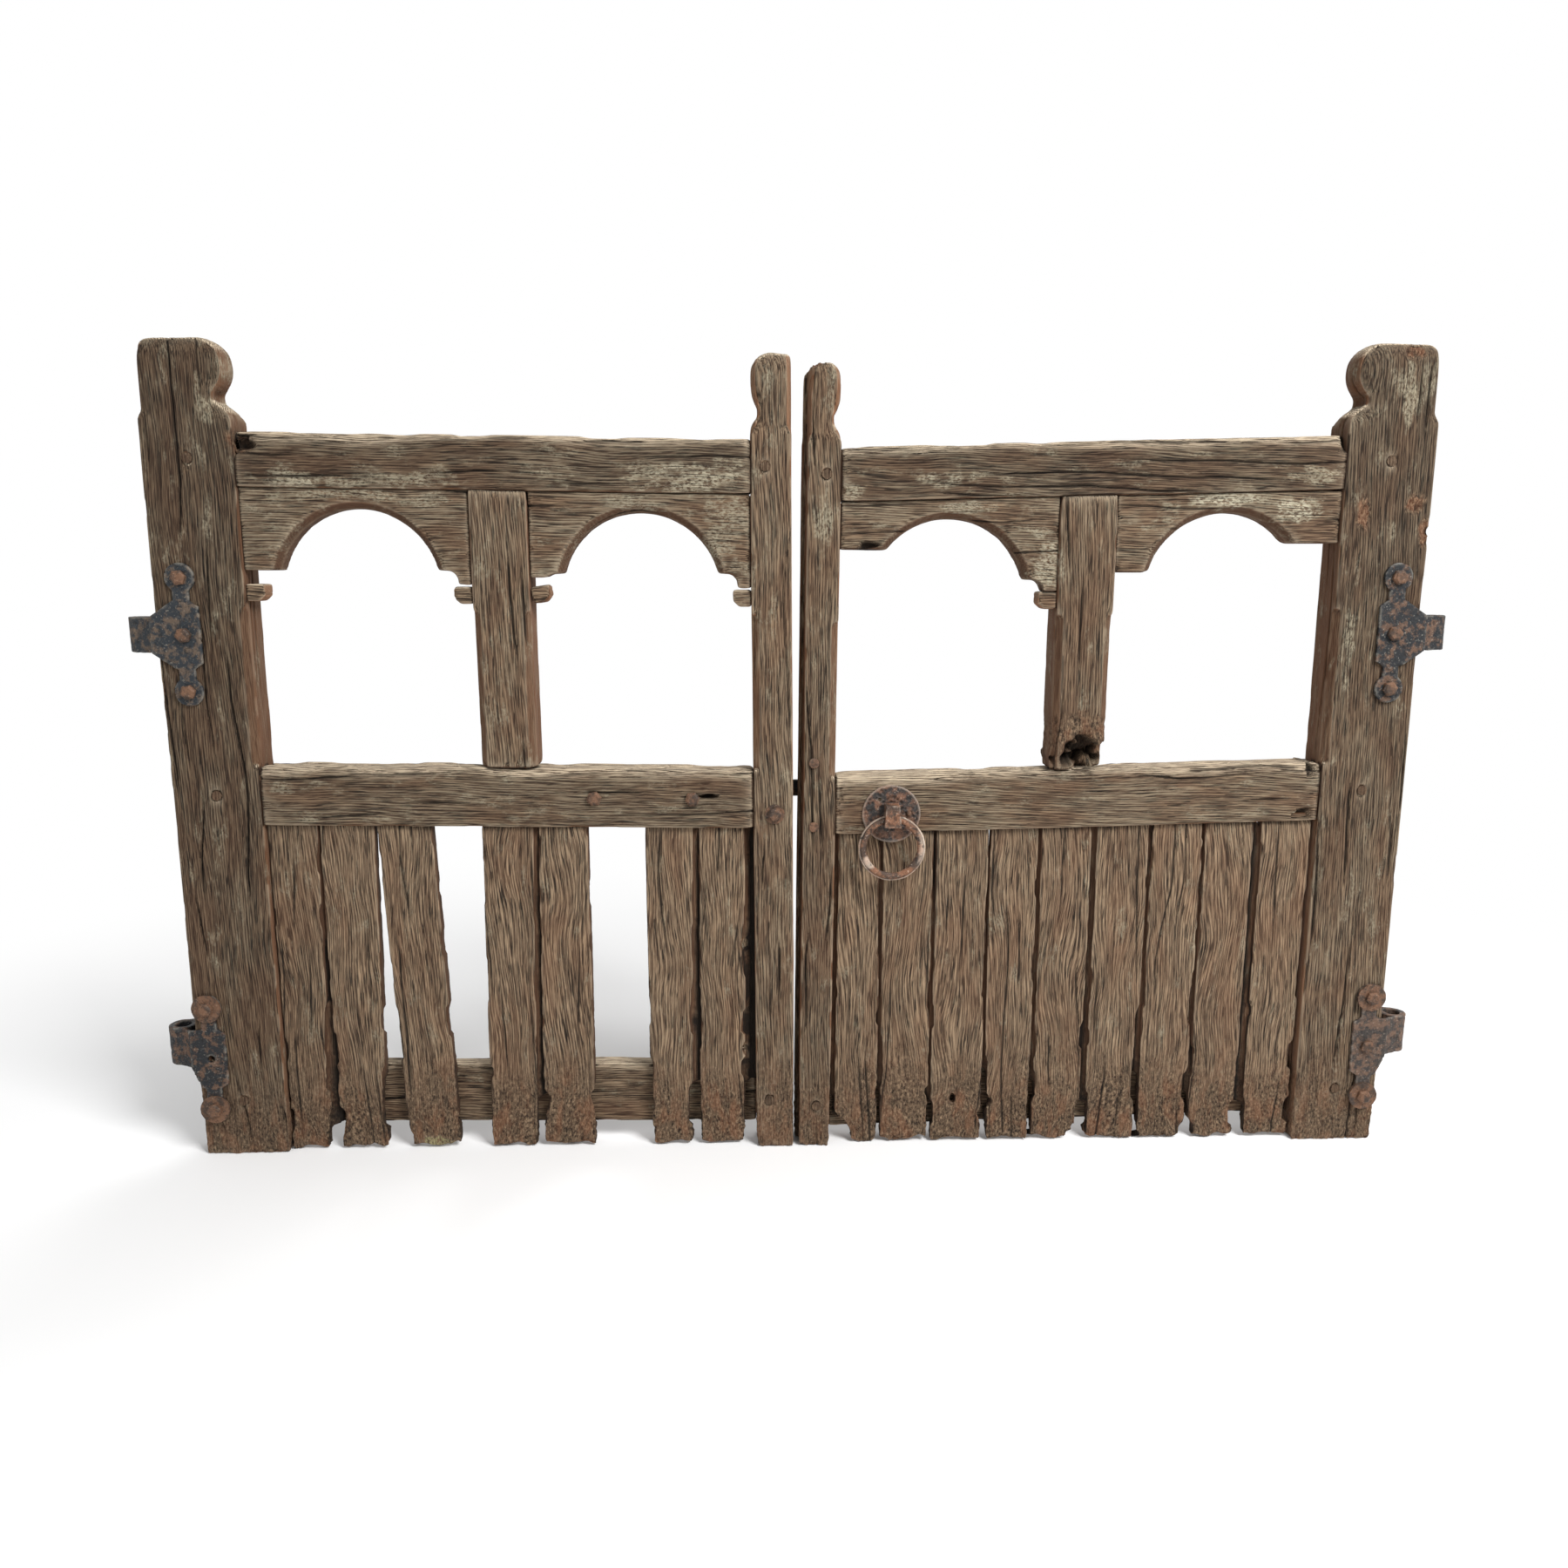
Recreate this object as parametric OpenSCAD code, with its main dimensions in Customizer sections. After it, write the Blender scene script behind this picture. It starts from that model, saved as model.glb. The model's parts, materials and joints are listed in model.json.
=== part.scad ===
// Pair of framed oak gates with arched lights, boarded lower panels, eye hinges and a ring latch.
// Millimetres, +Z up, the front face looks along -Y, the floor is at Z = 0.
// Each leaf is drawn in leaf coordinates: u runs from the hanging edge to the meeting edge,
// n runs from the front face to the back, z runs up. The right leaf is the mirrored layout.

/* [Leaf] */
// Width of one leaf from hanging edge to meeting edge, at the floor
leaf_w = 1001; // [961:5:1041]
// Height of the hanging stile with its finial
stile_h = 1328; // [1288:4:1368]
// Thickness of the frame timbers
wood_t = 64; // [58:1:70]
// Width of a hanging stile
hang_w = 141; // [133:1:149]
// Width of the left meeting stile
left_meet_w = 64; // [60:1:68]
// Front width of the right meeting stile
right_meet_w = 53; // [50:1:57]
// Width of the rear lip on the right meeting stile
lip_w = 7; // [5:0.5:9]
// Thickness of the rear lip
lip_t = 30; // [24:1:34]
// Gap between the lip and the left leaf at the floor
meet_gap = 0.8; // [0.6:0.1:0.9]
// Drop of the left rails over the leaf width
left_drop = 12; // [6:1:16]
// Drop of the right rails over the leaf width
right_drop = 24; // [18:1:28]
// Lean of the left meeting stile over the stile height
left_lean = 5.6; // [3:0.2:8]
// Lean of the right meeting stile over the stile height
right_lean = 14; // [10:0.5:18]

/* [Finials] */
// Fall from the hanging finial to the meeting finial before the rails drop
meet_fall = 6; // [4:1:9]
// Radius of the hanging finial bulb
hang_bulb_r = 43; // [40:1:46]
// Radius of the meeting finial bulb
meet_bulb_r = 31; // [28:0.5:31]
// Set-in of the hanging bulb from the inner edge
hang_bulb_in = 6; // [4:1:9]
// Set-in of the meeting bulb from the inner edge
meet_bulb_in = 1; // [0.5:0.5:2]
// Set-in of the hanging notch
hang_notch_in = 43; // [39:1:46]
// Set-in of the meeting notch
meet_notch_in = 21; // [18:1:24]
// Depth of the notch below the finial top
notch_h = 88; // [85:1:92]
// Slope of the shoulder below the notch
shoulder_h = 15; // [12:1:18]
// Rounding of the shoulder corner
shoulder_r = 10; // [7:1:13]
// Rounding of the outer finial corner
corner_r = 15; // [11:1:19]
// Rise of the bulb above the flat top of a finial
crown = 2; // [1:0.5:3]

/* [Rails] */
// Depth of the top rail below the finial top at the hanging edge
top_rail_low = 137; // [133:1:141]
// Height of the top rail section
top_rail_h = 83; // [77:1:87]
// Height of the middle rail section
mid_rail_h = 97; // [92:1:102]
// Height of the bottom rail section
low_rail_h = 106; // [100:1:112]
// Thickness of the tenons
tenon_t = 18; // [15:1:21]
// Length of the tenons in the hanging stile
hang_tenon_l = 84; // [78:1:90]
// Length of the tenons in the meeting stile
meet_tenon_l = 38; // [32:1:40]
// Shoulder above and below each tenon
tenon_set = 14; // [10:1:17]
// Radius of the oak pegs
peg_r = 8; // [6.5:0.5:9]

/* [Lights] */
// Width of the muntin
muntin_w = 90; // [84:1:96]
// Length of the muntin stub tenons
stub_l = 22; // [18:1:26]
// Chamfer of the light edges
edge_chamfer = 12; // [9:1:14]
// Radius of the arch soffit
arch_r = 126; // [120:1:130]
// Height of the arch boards over the crown of the soffit
arch_crown = 31; // [28:1:34]
// Chamfer of the arch edge
arch_chamfer = 11; // [8:1:13]
// Thickness of the arch boards
arch_t = 38; // [34:1:42]
// Set-back of the arch boards from the front
arch_set = 5; // [3:1:7]
// Height of the arch feet over the arch centre
foot_up = 9; // [7:1:11]
// Width of the arch feet
foot_w = 22; // [20:1:24]
// Height of the flat cusps over the feet
cusp_up = 23; // [20:1:26]
// Radius of the cove under a cusp
hollow_r = 17; // [14:0.5:19]
// Height of the high breaks of the arch feet over the feet
break_up = 69; // [62:1:74]
// Projection of the imposts
impost_w = 30; // [26:1:34]
// Height of the imposts
impost_h = 27; // [23:1:30]
// Depth of the imposts
impost_t = 34; // [30:1:38]

/* [Boards] */
// Thickness of the boards
board_t = 22; // [19:1:24]
// Set-back of the boards from the front
board_set = 10; // [8:1:12]
// Depth of the groove for the boards under the middle rail
groove_d = 12; // [9:1:15]
// Height of the board ends above the floor
board_z = 3; // [2:0.5:8]
// Thickness of the tongues on the board edges
tongue_t = 7; // [5:0.5:9]

/* [Hinges] */
// Distance of the hinge axis outside the hanging edge
eye_off = 34; // [31:0.5:38]
// Outer radius of the hinge eyes
eye_r = 22; // [20:0.5:24]
// Radius of the eye bores
bore_r = 13; // [11:0.5:14]
// Height of the upper eyes
up_eye_h = 56; // [50:1:62]
// Height of the lower eyes
low_eye_h = 66; // [60:1:72]
// Spacing of the hinge bolts
bolt_step = 89; // [84:1:94]
// Rise of the lower eye above its middle bolt
low_eye_rise = 16; // [12:1:20]
// Thickness of the hinge plates
plate_t = 6; // [5:0.5:7]
// Radius of the plate lobes
lobe_r = 23; // [21:0.5:25]
// Bolt line of the upper hinge from the hanging edge
up_bolt_u = 44; // [41:1:47]
// Bolt line of the lower hinge from the hanging edge
low_bolt_u = 25; // [24:1:28]
// Radius of the bolt shanks
bolt_r = 6; // [5:0.5:7]
// Width of the bolt heads over the corners
head_w = 24; // [21:1:27]
// Thickness of the bolt heads
head_t = 8; // [6:0.5:10]
// Radius of the large washers
washer_r = 24; // [22:0.5:25]
// Thickness of the washers
washer_t = 3; // [2:0.5:4]

/* [Ring latch] */
// Distance of the latch spindle from the meeting stile at the floor
spindle_in = 98; // [90:1:104]
// Height of the latch spindle above the underside of the middle rail
spindle_up = 33; // [30:1:36]
// Radius of the rose plate
rose_r = 48; // [44:1:52]
// Thickness of the rose plate at its edge
rose_t = 3; // [2.5:0.5:4]
// Radius of the spindle
spindle_r = 8; // [7:0.5:9]
// Width of the boss
boss_w = 28; // [25:1:30]
// Height of the boss
boss_h = 37; // [34:1:40]
// Depth of the boss
boss_d = 28; // [26:1:31]
// Radius of the ring bar
ring_bar_r = 5; // [4.5:0.25:5.5]
// Radius of the ring to the middle of its bar
ring_r = 48; // [45:1:52]
// Radius of the bead round the ring
bead_r = 1.8; // [1.4:0.2:2.2]
// Height of the latch bar
bar_h = 28; // [25:1:31]
// Thickness of the latch bar
bar_t = 6; // [5:0.5:7]
// Distance of the latch pivot from the spindle
pivot_step = 129; // [122:1:136]
// Overhang of the latch bar past the meeting edge
bar_over = 44; // [38:1:50]
// Reach of the lifter finger
finger_l = 36; // [33:1:39]
// Thickness of the lifter finger
finger_t = 8; // [7:0.5:9]
// Width of the staple bar
staple_w = 9; // [8:0.5:10]
// Distance between the staple legs
staple_h = 106; // [100:1:112]
// Clear depth inside the staple
staple_d = 17; // [15:1:19]

/* [Hidden] */
// Gap between pieces that move against each other
gap = 0.4;
// Looseness of fasteners in their holes
slip = 0.15;
// Overlap of the cutting shapes
over = 1;
// Facets of round forms
fine = 48;
$fn = fine;

// Heights as shares of the stile height: middle rail, bottom rail, upper and lower hinge
mid_rail_share = 0.50527;
low_rail_share = 0.11295;
up_hinge_share = 0.6619;
low_hinge_share = 0.13102;
top_rail_z = stile_h - top_rail_low;
mid_rail_z = stile_h * mid_rail_share;
low_rail_z = stile_h * low_rail_share;
up_hinge_z = stile_h * up_hinge_share;
low_hinge_z = stile_h * low_hinge_share;
// Levels of the arch boards
arch_z = top_rail_z - top_rail_h - arch_crown - arch_r;
foot_z = arch_z + foot_up;
cusp_z = foot_z + cusp_up;
break_z = foot_z + break_up;

// Half of the pair between the hanging edges
half = leaf_w + (lip_w + meet_gap) / 2;
// Depths of the front and the back of the assembly from the middle of the timbers
front_out = wood_t / 2 + rose_t + gap + boss_d;
back_out = wood_t / 2 + staple_d + staple_w;
// Middle of the timbers, so that the whole stands over the origin
mid_y = (front_out - back_out) / 2;

// Layout of a leaf: 0 is the left one, 1 the right one
function drop(f) = f == 0 ? left_drop : right_drop;
function lean(f) = f == 0 ? left_lean : right_lean;
function meet_w(f) = f == 0 ? left_meet_w : right_meet_w;
// Height at u of a line that lies at z at the hanging edge
function sag(f, u, z) = z - drop(f) * u / leaf_w;
// Shift of a leaning line at z
function tilt(f, z) = lean(f) * z / stile_h;
// Inner edge of the meeting stile at z
function meet_u(f, z) = leaf_w - meet_w(f) - tilt(f, z);
// Inner edge of the meeting stile where a sagging line that starts at z meets it
function end_u(f, z) = (leaf_w - meet_w(f) - tilt(f, z)) / (1 - lean(f) * drop(f) / (stile_h * leaf_w));
// Middle line of the muntin
function muntin_u(f) = (hang_w + leaf_w - meet_w(f)) / 2;
// Clear width of the boarded panel
function panel_w(f) = leaf_w - meet_w(f) - hang_w;

// Back face of the boards and middle of the rail tenons
board_back = board_set + board_t;
tenon_n = (wood_t - tenon_t) / 2;
low_tenon_n = board_back + (wood_t - board_back - tenon_t) / 2;

// Places and levels of the latch on the right leaf
spindle_u = leaf_w - right_meet_w - spindle_in;
pivot_u = spindle_u - pivot_step;
spindle_z = sag(1, spindle_u, mid_rail_z - mid_rail_h) + spindle_up;
bar_low = spindle_z + spindle_up / 2 + gap;
pivot_z = bar_low + bar_h / 2;
bar_n = wood_t + bar_t * 2 / 3;
staple_u = leaf_w - tilt(1, spindle_z) - right_meet_w / 3;
staple_z = pivot_z;
boss_n = -rose_t - gap - boss_d;
ring_n = boss_n + boss_d / 2;
// Fall of the ring bar over half of the boss
ring_fall = ring_r - sqrt(ring_r * ring_r - boss_w * boss_w / 4);
hole_r = ring_bar_r + ring_fall + 4 * gap;
ring_low = hole_r - gap - ring_bar_r - ring_fall;

// Boards as shares of the panel: upper left, upper right, lower left, lower right edge
left_board_shares = [
  [0.0005, 0.104, 0.0005, 0.090],
  [0.1055, 0.219, 0.103, 0.208],
  [0.2215, 0.3355, 0.250, 0.364],
  [0.437, 0.544, 0.428, 0.5275],
  [0.5525, 0.6545, 0.540, 0.6545],
  [0.7725, 0.872, 0.771, 0.864],
  [0.881, 0.980, 0.878, 0.975]];
right_board_shares = [
  [0.004, 0.109, 0.004, 0.107],
  [0.124, 0.2255, 0.121, 0.2255],
  [0.228, 0.337, 0.228, 0.335],
  [0.342, 0.451, 0.340, 0.450],
  [0.460, 0.565, 0.458, 0.565],
  [0.571, 0.672, 0.570, 0.668],
  [0.673, 0.784, 0.673, 0.784],
  [0.788, 0.893, 0.787, 0.892],
  [0.896, 0.985, 0.896, 0.990]];
// Rotted bites out of board edges: board, place across it, height and size as shares
left_bite_shares = [[1, -0.10, 0.10, 0.20], [1, -0.06, 0.22, 0.14], [4, -0.10, 0.13, 0.22],
  [4, -0.07, 0.26, 0.14], [6, 1.06, 0.30, 0.13], [6, 1.05, 0.62, 0.12]];
right_bite_shares = [[8, 1.02, 0.02, 0.40], [6, 0.55, 0.13, 0.10], [5, 1.05, 0.12, 0.16],
  [1, 1.04, 0.02, 0.20], [4, -0.03, 0.01, 0.20]];
// Tongues left on the board edges towards the meeting stile: board, lower and upper end as shares
left_tongue_shares = [[0, 0.08, 0.98], [3, 0.16, 0.98], [5, 0.20, 0.98], [6, 0.257, 0.31], [6, 0.344, 0.415],
  [6, 0.458, 0.577], [6, 0.63, 0.88]];
// Board whose tongue is split, and the lower and upper end of the back half that is left of it
split_tongue = [6, 0.20, 0.98];
right_tongue_shares = [[0, 0.12, 0.98], [1, 0.15, 0.98], [2, 0.22, 0.98], [3, 0.13, 0.98], [4, 0.20, 0.98],
  [5, 0.24, 0.98], [6, 0.14, 0.98], [7, 0.18, 0.98], [8, 0.16, 0.98]];

// Places of the two bolts in the left middle rail as shares of the leaf width
bolt_shares = [0.675, 0.834];

// Every piece of the pair by name

// Place a leaf: the left one as drawn, the right one mirrored
module leaf(f) {
  if (f == 0) translate([-half, mid_y, 0]) children();
  else translate([half, mid_y, 0]) mirror([1, 0, 0]) children();
}
// Extrude an outline in u and z from depth n over the thickness t
module slab(n, t) {
  translate([0, n + t - wood_t / 2, 0]) rotate([90, 0, 0]) linear_extrude(t) children();
}
// Round bar along the depth
module pin(u, z, n, r, t) {
  translate([u, n + t - wood_t / 2, z]) rotate([90, 0, 0]) cylinder(h = t, r = r);
}
// Hexagon along the depth
module hex(u, z, n, w, t) {
  translate([u, n + t - wood_t / 2, z]) rotate([90, 0, 0]) cylinder(h = t, r = w / 2, $fn = 6);
}
// Strip between two sagging lines, from u0 to the meeting stile
module rail_body(f, u0, z, h) {
  ua = end_u(f, z);
  ub = end_u(f, z - h);
  polygon([[u0, sag(f, u0, z - h)], [ub, sag(f, ub, z - h)], [ua, sag(f, ua, z)], [u0, sag(f, u0, z)]]);
}
// Tenons of a rail in both stiles, which are also their mortises
module rail_tenons(f, z, h, n) {
  za = z - tenon_set;
  zb = z - h + tenon_set;
  u0 = hang_w - hang_tenon_l;
  ub = end_u(f, zb);
  ue = leaf_w - meet_w(f) + meet_tenon_l - lean(f);
  uh = hang_w + tenon_set;
  ur = ub - tenon_set;
  slab(n, tenon_t) {
    polygon([[u0, sag(f, u0, zb)], [uh, sag(f, uh, zb)], [uh, sag(f, uh, za)], [u0, sag(f, u0, za)]]);
    polygon([[ur, sag(f, ur, zb)], [ue, sag(f, ue, zb)], [ue, sag(f, ue, za)], [ur, sag(f, ur, za)]]);
  }
}
module tenons(f) {
  rail_tenons(f, top_rail_z, top_rail_h, tenon_n);
  rail_tenons(f, mid_rail_z, mid_rail_h, tenon_n);
  rail_tenons(f, low_rail_z, low_rail_h, low_tenon_n);
}
// Pegs through the stiles and their tenons; r is their radius
module peg_row(f, r) {
  for (z = [top_rail_z - top_rail_h / 2, mid_rail_z - mid_rail_h / 2, low_rail_z - low_rail_h / 2])
    pin(hang_w / 2, sag(f, hang_w / 2, z), 0, r, wood_t);
  for (z = [top_rail_z - top_rail_h / 2, low_rail_z - low_rail_h / 2]) {
    u = end_u(f, z) + meet_tenon_l * 3 / 5;
    pin(u, sag(f, u, z), 0, r, wood_t);
  }
}
// Outline of a stile with its finial, drawn from its inner edge to its outer edge.
// The bulb keeps its width down to fz below the top; cr rounds the outer corner.
module stile_outline(ln, w, top, br, bi, ni, fz, cr) {
  sh = ln / stile_h;
  nz = top - notch_h;
  bc = bi + br;
  function pt(s, z) = [s - sh * z, z];
  ft = top - crown;
  fs = bi + crown / 4;
  polygon([pt(0, 0), pt(w, 0), pt(w, ft - cr), pt(w - cr / 4, ft - cr / 3), pt(w - cr, ft), pt(bc, ft),
    pt(bc, nz), pt(ni, nz), pt(ni / 4, nz - shoulder_h), pt(0, nz - shoulder_h - shoulder_r)]);
  translate(pt(bc, top - br)) circle(br);
  polygon([pt(fs, top - br), pt(fs, top - fz), pt(fs + (ni - fs) / 3, nz + (notch_h - fz) * 2 / 5),
    pt(ni, nz - over), pt(bc + shoulder_r, nz - over), pt(bc + shoulder_r, top - br)]);
}
// Triangular cut along a vertical edge at u from za to zb; sg points into the light
module edge_cut(u, sg, za, zb, a) {
  c = edge_chamfer;
  translate([u, -wood_t / 2, za]) rotate([0, -a, 0]) linear_extrude(zb - za)
    polygon([[-sg * (c + over), -over], [sg * over, -over], [sg * over, c + over]]);
}
// Holes of the hinge bolts; r is their radius
module hinge_pins(r, n, t) {
  for (i = [-1, 0, 1]) {
    pin(up_bolt_u, up_hinge_z + i * bolt_step, n, r, t);
    pin(low_bolt_u, low_hinge_z + i * bolt_step, n, r, t);
  }
}
module hanging_stile(f) {
  chamfer_top = sag(f, hang_w, foot_z - impost_h - edge_chamfer);
  leaf(f) difference() {
    slab(0, wood_t) translate([hang_w, 0]) mirror([1, 0])
      stile_outline(0, hang_w, stile_h, hang_bulb_r, hang_bulb_in, hang_notch_in,
        hang_bulb_r * 6 / 5, corner_r);
    tenons(f);
    peg_row(f, peg_r + slip);
    hinge_pins(bolt_r + slip, -over, wood_t + 2 * over);
    edge_cut(hang_w, 1, sag(f, hang_w, mid_rail_z), chamfer_top, 0);
  }
}
module meeting_stile(f) {
  top = sag(f, leaf_w, stile_h - meet_fall);
  za = sag(f, leaf_w, mid_rail_z);
  zb = sag(f, leaf_w, foot_z - impost_h - edge_chamfer);
  leaf(f) difference() {
    union() {
      slab(0, wood_t) translate([leaf_w - meet_w(f), 0])
        stile_outline(lean(f), meet_w(f), top, meet_bulb_r * meet_w(f) / left_meet_w, meet_bulb_in,
          meet_notch_in, notch_h * 2 / 3, f == 0 ? corner_r * 2 / 5 : corner_r);
      lz = top - corner_r;
      if (f == 1) slab(wood_t - lip_t, lip_t) polygon([[leaf_w - corner_r, 0], [leaf_w + lip_w, 0],
        [leaf_w + lip_w - tilt(f, lz), lz], [leaf_w - corner_r - tilt(f, lz), lz]]);
    }
    tenons(f);
    peg_row(f, peg_r + slip);
    edge_cut(meet_u(f, za), -1, za, zb, atan(lean(f) / stile_h));
    if (f == 0) {
      keep_holes();
    } else {
      for (s = [-1, 1]) staple_leg(s, slip);
    }
  }
}
// Holes of the lost keep on the left meeting stile
module keep_holes() {
  u = leaf_w - left_meet_w / 2;
  pin(u, spindle_z, -over, bolt_r + slip, wood_t + 2 * over);
  pin(u - left_meet_w / 4, spindle_z + left_meet_w / 3, -over, bolt_r * 3 / 4, wood_t + 2 * over);
}
module top_rail(f) {
  leaf(f) difference() {
    union() {
      slab(0, wood_t) rail_body(f, hang_w, top_rail_z, top_rail_h);
      rail_tenons(f, top_rail_z, top_rail_h, tenon_n);
    }
    peg_row(f, peg_r + slip);
    muntin_stubs(f);
  }
}
module mid_rail(f) {
  leaf(f) difference() {
    union() {
      slab(0, wood_t) rail_body(f, hang_w, mid_rail_z, mid_rail_h);
      rail_tenons(f, mid_rail_z, mid_rail_h, tenon_n);
    }
    slab(board_set, board_t) rail_body(f, hang_w, mid_rail_z - mid_rail_h + groove_d, groove_d + over);
    peg_row(f, peg_r + slip);
    muntin_stubs(f);
    if (f == 0) {
      rail_bolt_row(bolt_r + slip, -over, wood_t + 2 * over);
      keep_holes();
    } else {
      for (s = [-1, 1]) staple_leg(s, slip);
      pin(spindle_u, spindle_z, -over, spindle_r + gap, wood_t + 2 * over);
      pin(pivot_u, pivot_z, wood_t - board_back - groove_d, bolt_r + slip, wood_t);
      pin(spindle_u - rose_r * 3 / 5, spindle_z, -over, bolt_r / 2 + slip, board_set + over);
    }
  }
}
module bottom_rail(f) {
  leaf(f) difference() {
    union() {
      slab(board_back, wood_t - board_back) rail_body(f, hang_w, low_rail_z, low_rail_h);
      rail_tenons(f, low_rail_z, low_rail_h, low_tenon_n);
    }
    peg_row(f, peg_r + slip);
  }
}
// Stub tenons of the muntin, which are also their mortises
module muntin_stubs(f) {
  w = muntin_w / 2 - tenon_set;
  u = muntin_u(f);
  zt = top_rail_z - top_rail_h;
  zs = zt - tenon_set;
  ze = mid_rail_z + tenon_set;
  slab(tenon_n, tenon_t) {
    polygon([[u - w, sag(f, u, zs)], [u + w, sag(f, u, zs)],
      [u + w, sag(f, u, zt + stub_l)], [u - w, sag(f, u, zt + stub_l)]]);
    polygon([[u - w, sag(f, u, mid_rail_z - stub_l)], [u + w, sag(f, u, mid_rail_z - stub_l)],
      [u + w, sag(f, u, ze)], [u - w, sag(f, u, ze)]]);
  }
}
module muntin(f) {
  u = muntin_u(f);
  w = muntin_w / 2;
  zt = top_rail_z - top_rail_h;
  za = sag(f, u + w, mid_rail_z) - over;
  zb = sag(f, u, foot_z - impost_h - edge_chamfer);
  leaf(f) difference() {
    union() {
      zm = mid_rail_z + slip;
      slab(0, wood_t) polygon([[u - w, sag(f, u - w, zm)], [u + w, sag(f, u + w, zm)],
        [u + w, sag(f, u + w, zt - slip)], [u - w, sag(f, u - w, zt - slip)]]);
      muntin_stubs(f);
    }
    difference() {
      union() {
        edge_cut(u - w, -1, za, zb, 0);
        edge_cut(u + w, 1, za, zb, 0);
      }
      muntin_stubs(f);
    }
    if (f == 1) slab(-over, board_back) translate([u - w, sag(f, u, mid_rail_z) - over]) {
      polygon([[-over, 0], [muntin_w * 2 / 3, 0], [muntin_w / 3, muntin_w / 3], [-over, muntin_w / 2]]);
    }
  }
}
// Cove that fills a corner under a cusp, drawn from the corner
function cove_right(r) = concat([[over, over], [-r, over]],
  [for (a = [0:15:90]) [-r + r * sin(a), -r + r * cos(a)]], [[over, -r]]);
function cove_left(r) = concat([[-over, -r]],
  [for (a = [90:-15:0]) [r - r * sin(a), -r + r * cos(a)]], [[r, over], [-over, over]]);
// Arch board of a light: k is 0 for the light at the hanging stile, 1 at the meeting stile.
// ba and bb are the heights at which its first and its second foot are broken off.
module arch(f, k, ba, bb) {
  u = muntin_u(f);
  w = muntin_w / 2;
  zt = top_rail_z - top_rail_h - slip;
  ul = k == 0 ? hang_w : u + w;
  ur = k == 0 ? u - w : end_u(f, zt);
  urf = k == 0 ? u - w : end_u(f, foot_z);
  uc = (ul + urf) / 2;
  dz = sag(f, uc, 0);
  leaf(f) difference() {
    slab(arch_set, arch_t) difference() {
      polygon([[ul, sag(f, ul, foot_z)], [urf, sag(f, urf, foot_z)],
        [ur, sag(f, ur, zt)], [ul, sag(f, ul, zt)]]);
      translate([uc, arch_z + dz]) circle(arch_r);
      difference() {
        translate([ul + foot_w, foot_z + dz - arch_r])
          square([urf - ul - 2 * foot_w, cusp_z - foot_z + arch_r]);
        translate([ul + foot_w, cusp_z + dz]) polygon(cove_left(hollow_r));
        translate([urf - foot_w, cusp_z + dz]) polygon(cove_right(hollow_r));
      }
      translate([ul - over, foot_z + dz - arch_r]) square([uc - ul, ba - foot_z + arch_r]);
      translate([uc, foot_z + dz - arch_r]) square([urf - uc + leaf_w / 99, bb - foot_z + arch_r]);
    }
    translate([uc, arch_set - wood_t / 2 - over, arch_z + dz]) rotate([-90, 0, 0])
      cylinder(h = arch_chamfer + over, r1 = arch_r + arch_chamfer + over, r2 = arch_r);
  }
}
// Impost under an arch foot: u is the face it is fixed to, sg the way it stands out
module impost(f, u, sg, z, a) {
  leaf(f) slab(arch_set, impost_t) translate([u, sag(f, u, z)]) rotate(a)
    polygon([[0, 0], [sg * impost_w, 0], [sg * impost_w, -impost_h * 2 / 3],
      [sg * impost_w * 2 / 3, -impost_h], [0, -impost_h]]);
}
// Edge of a board at a height: k is 0 for its edge at the hanging stile, 1 for the other
function board_row(f, i) = f == 0 ? left_board_shares[i] : right_board_shares[i];
function board_low(f, i) = board_z + drop(f) * (1 - board_row(f, i)[2]) / 3;
function board_top(f, u) = sag(f, u, mid_rail_z - mid_rail_h + groove_d);
function edge_low(f, i, k) = hang_w + board_row(f, i)[2 + k] * panel_w(f);
function edge_top(f, i, k) = hang_w + board_row(f, i)[k] * panel_w(f);
function edge_share(f, i, k, z) = (z - board_low(f, i)) / (board_top(f, edge_top(f, i, k)) - board_low(f, i));
function edge_u(f, i, k, z) = edge_low(f, i, k)
  + (edge_top(f, i, k) - edge_low(f, i, k)) * edge_share(f, i, k, z);
// Near edge of what stands next to a board on its meeting side
function board_count(f) = f == 0 ? len(left_board_shares) : len(right_board_shares);
function next_u(f, i, z) = i + 1 < board_count(f) ? edge_u(f, i + 1, 0, z) : end_u(f, z);
// Shrunken tongue that still closes the gap beside a board, between two heights
module tongue(f, i, za, zb, n, t) {
  slab(n, t)
    polygon([[edge_u(f, i, 1, za) - 2 * over, za], [next_u(f, i, za) - gap, za], [next_u(f, i, zb) - gap, zb],
      [edge_u(f, i, 1, zb) - 2 * over, zb]]);
}
// Board number i of a leaf
module board(f, i) {
  bites = f == 0 ? left_bite_shares : right_bite_shares;
  tongues = f == 0 ? left_tongue_shares : right_tongue_shares;
  zt = board_top(f, leaf_w);
  a = edge_top(f, i, 0);
  b = edge_top(f, i, 1);
  c = edge_low(f, i, 0);
  d = edge_low(f, i, 1);
  bz = board_low(f, i);
  leaf(f) {
    slab(board_set, board_t) difference() {
      polygon([[c, bz], [d, bz], [b, board_top(f, b)], [a, board_top(f, a)]]);
      for (s = bites) if (s[0] == i)
        translate([c + s[1] * (d - c), bz + s[2] * zt]) circle(s[3] * (d - c));
    }
    mid_n = board_set + board_t / 2;
    for (s = tongues) if (s[0] == i) tongue(f, i, s[1] * zt, s[2] * zt, mid_n - tongue_t / 2, tongue_t);
    s = split_tongue;
    if (f == 0 && s[0] == i) tongue(f, i, s[1] * zt, s[2] * zt, mid_n, tongue_t / 2 + over);
  }
}
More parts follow.
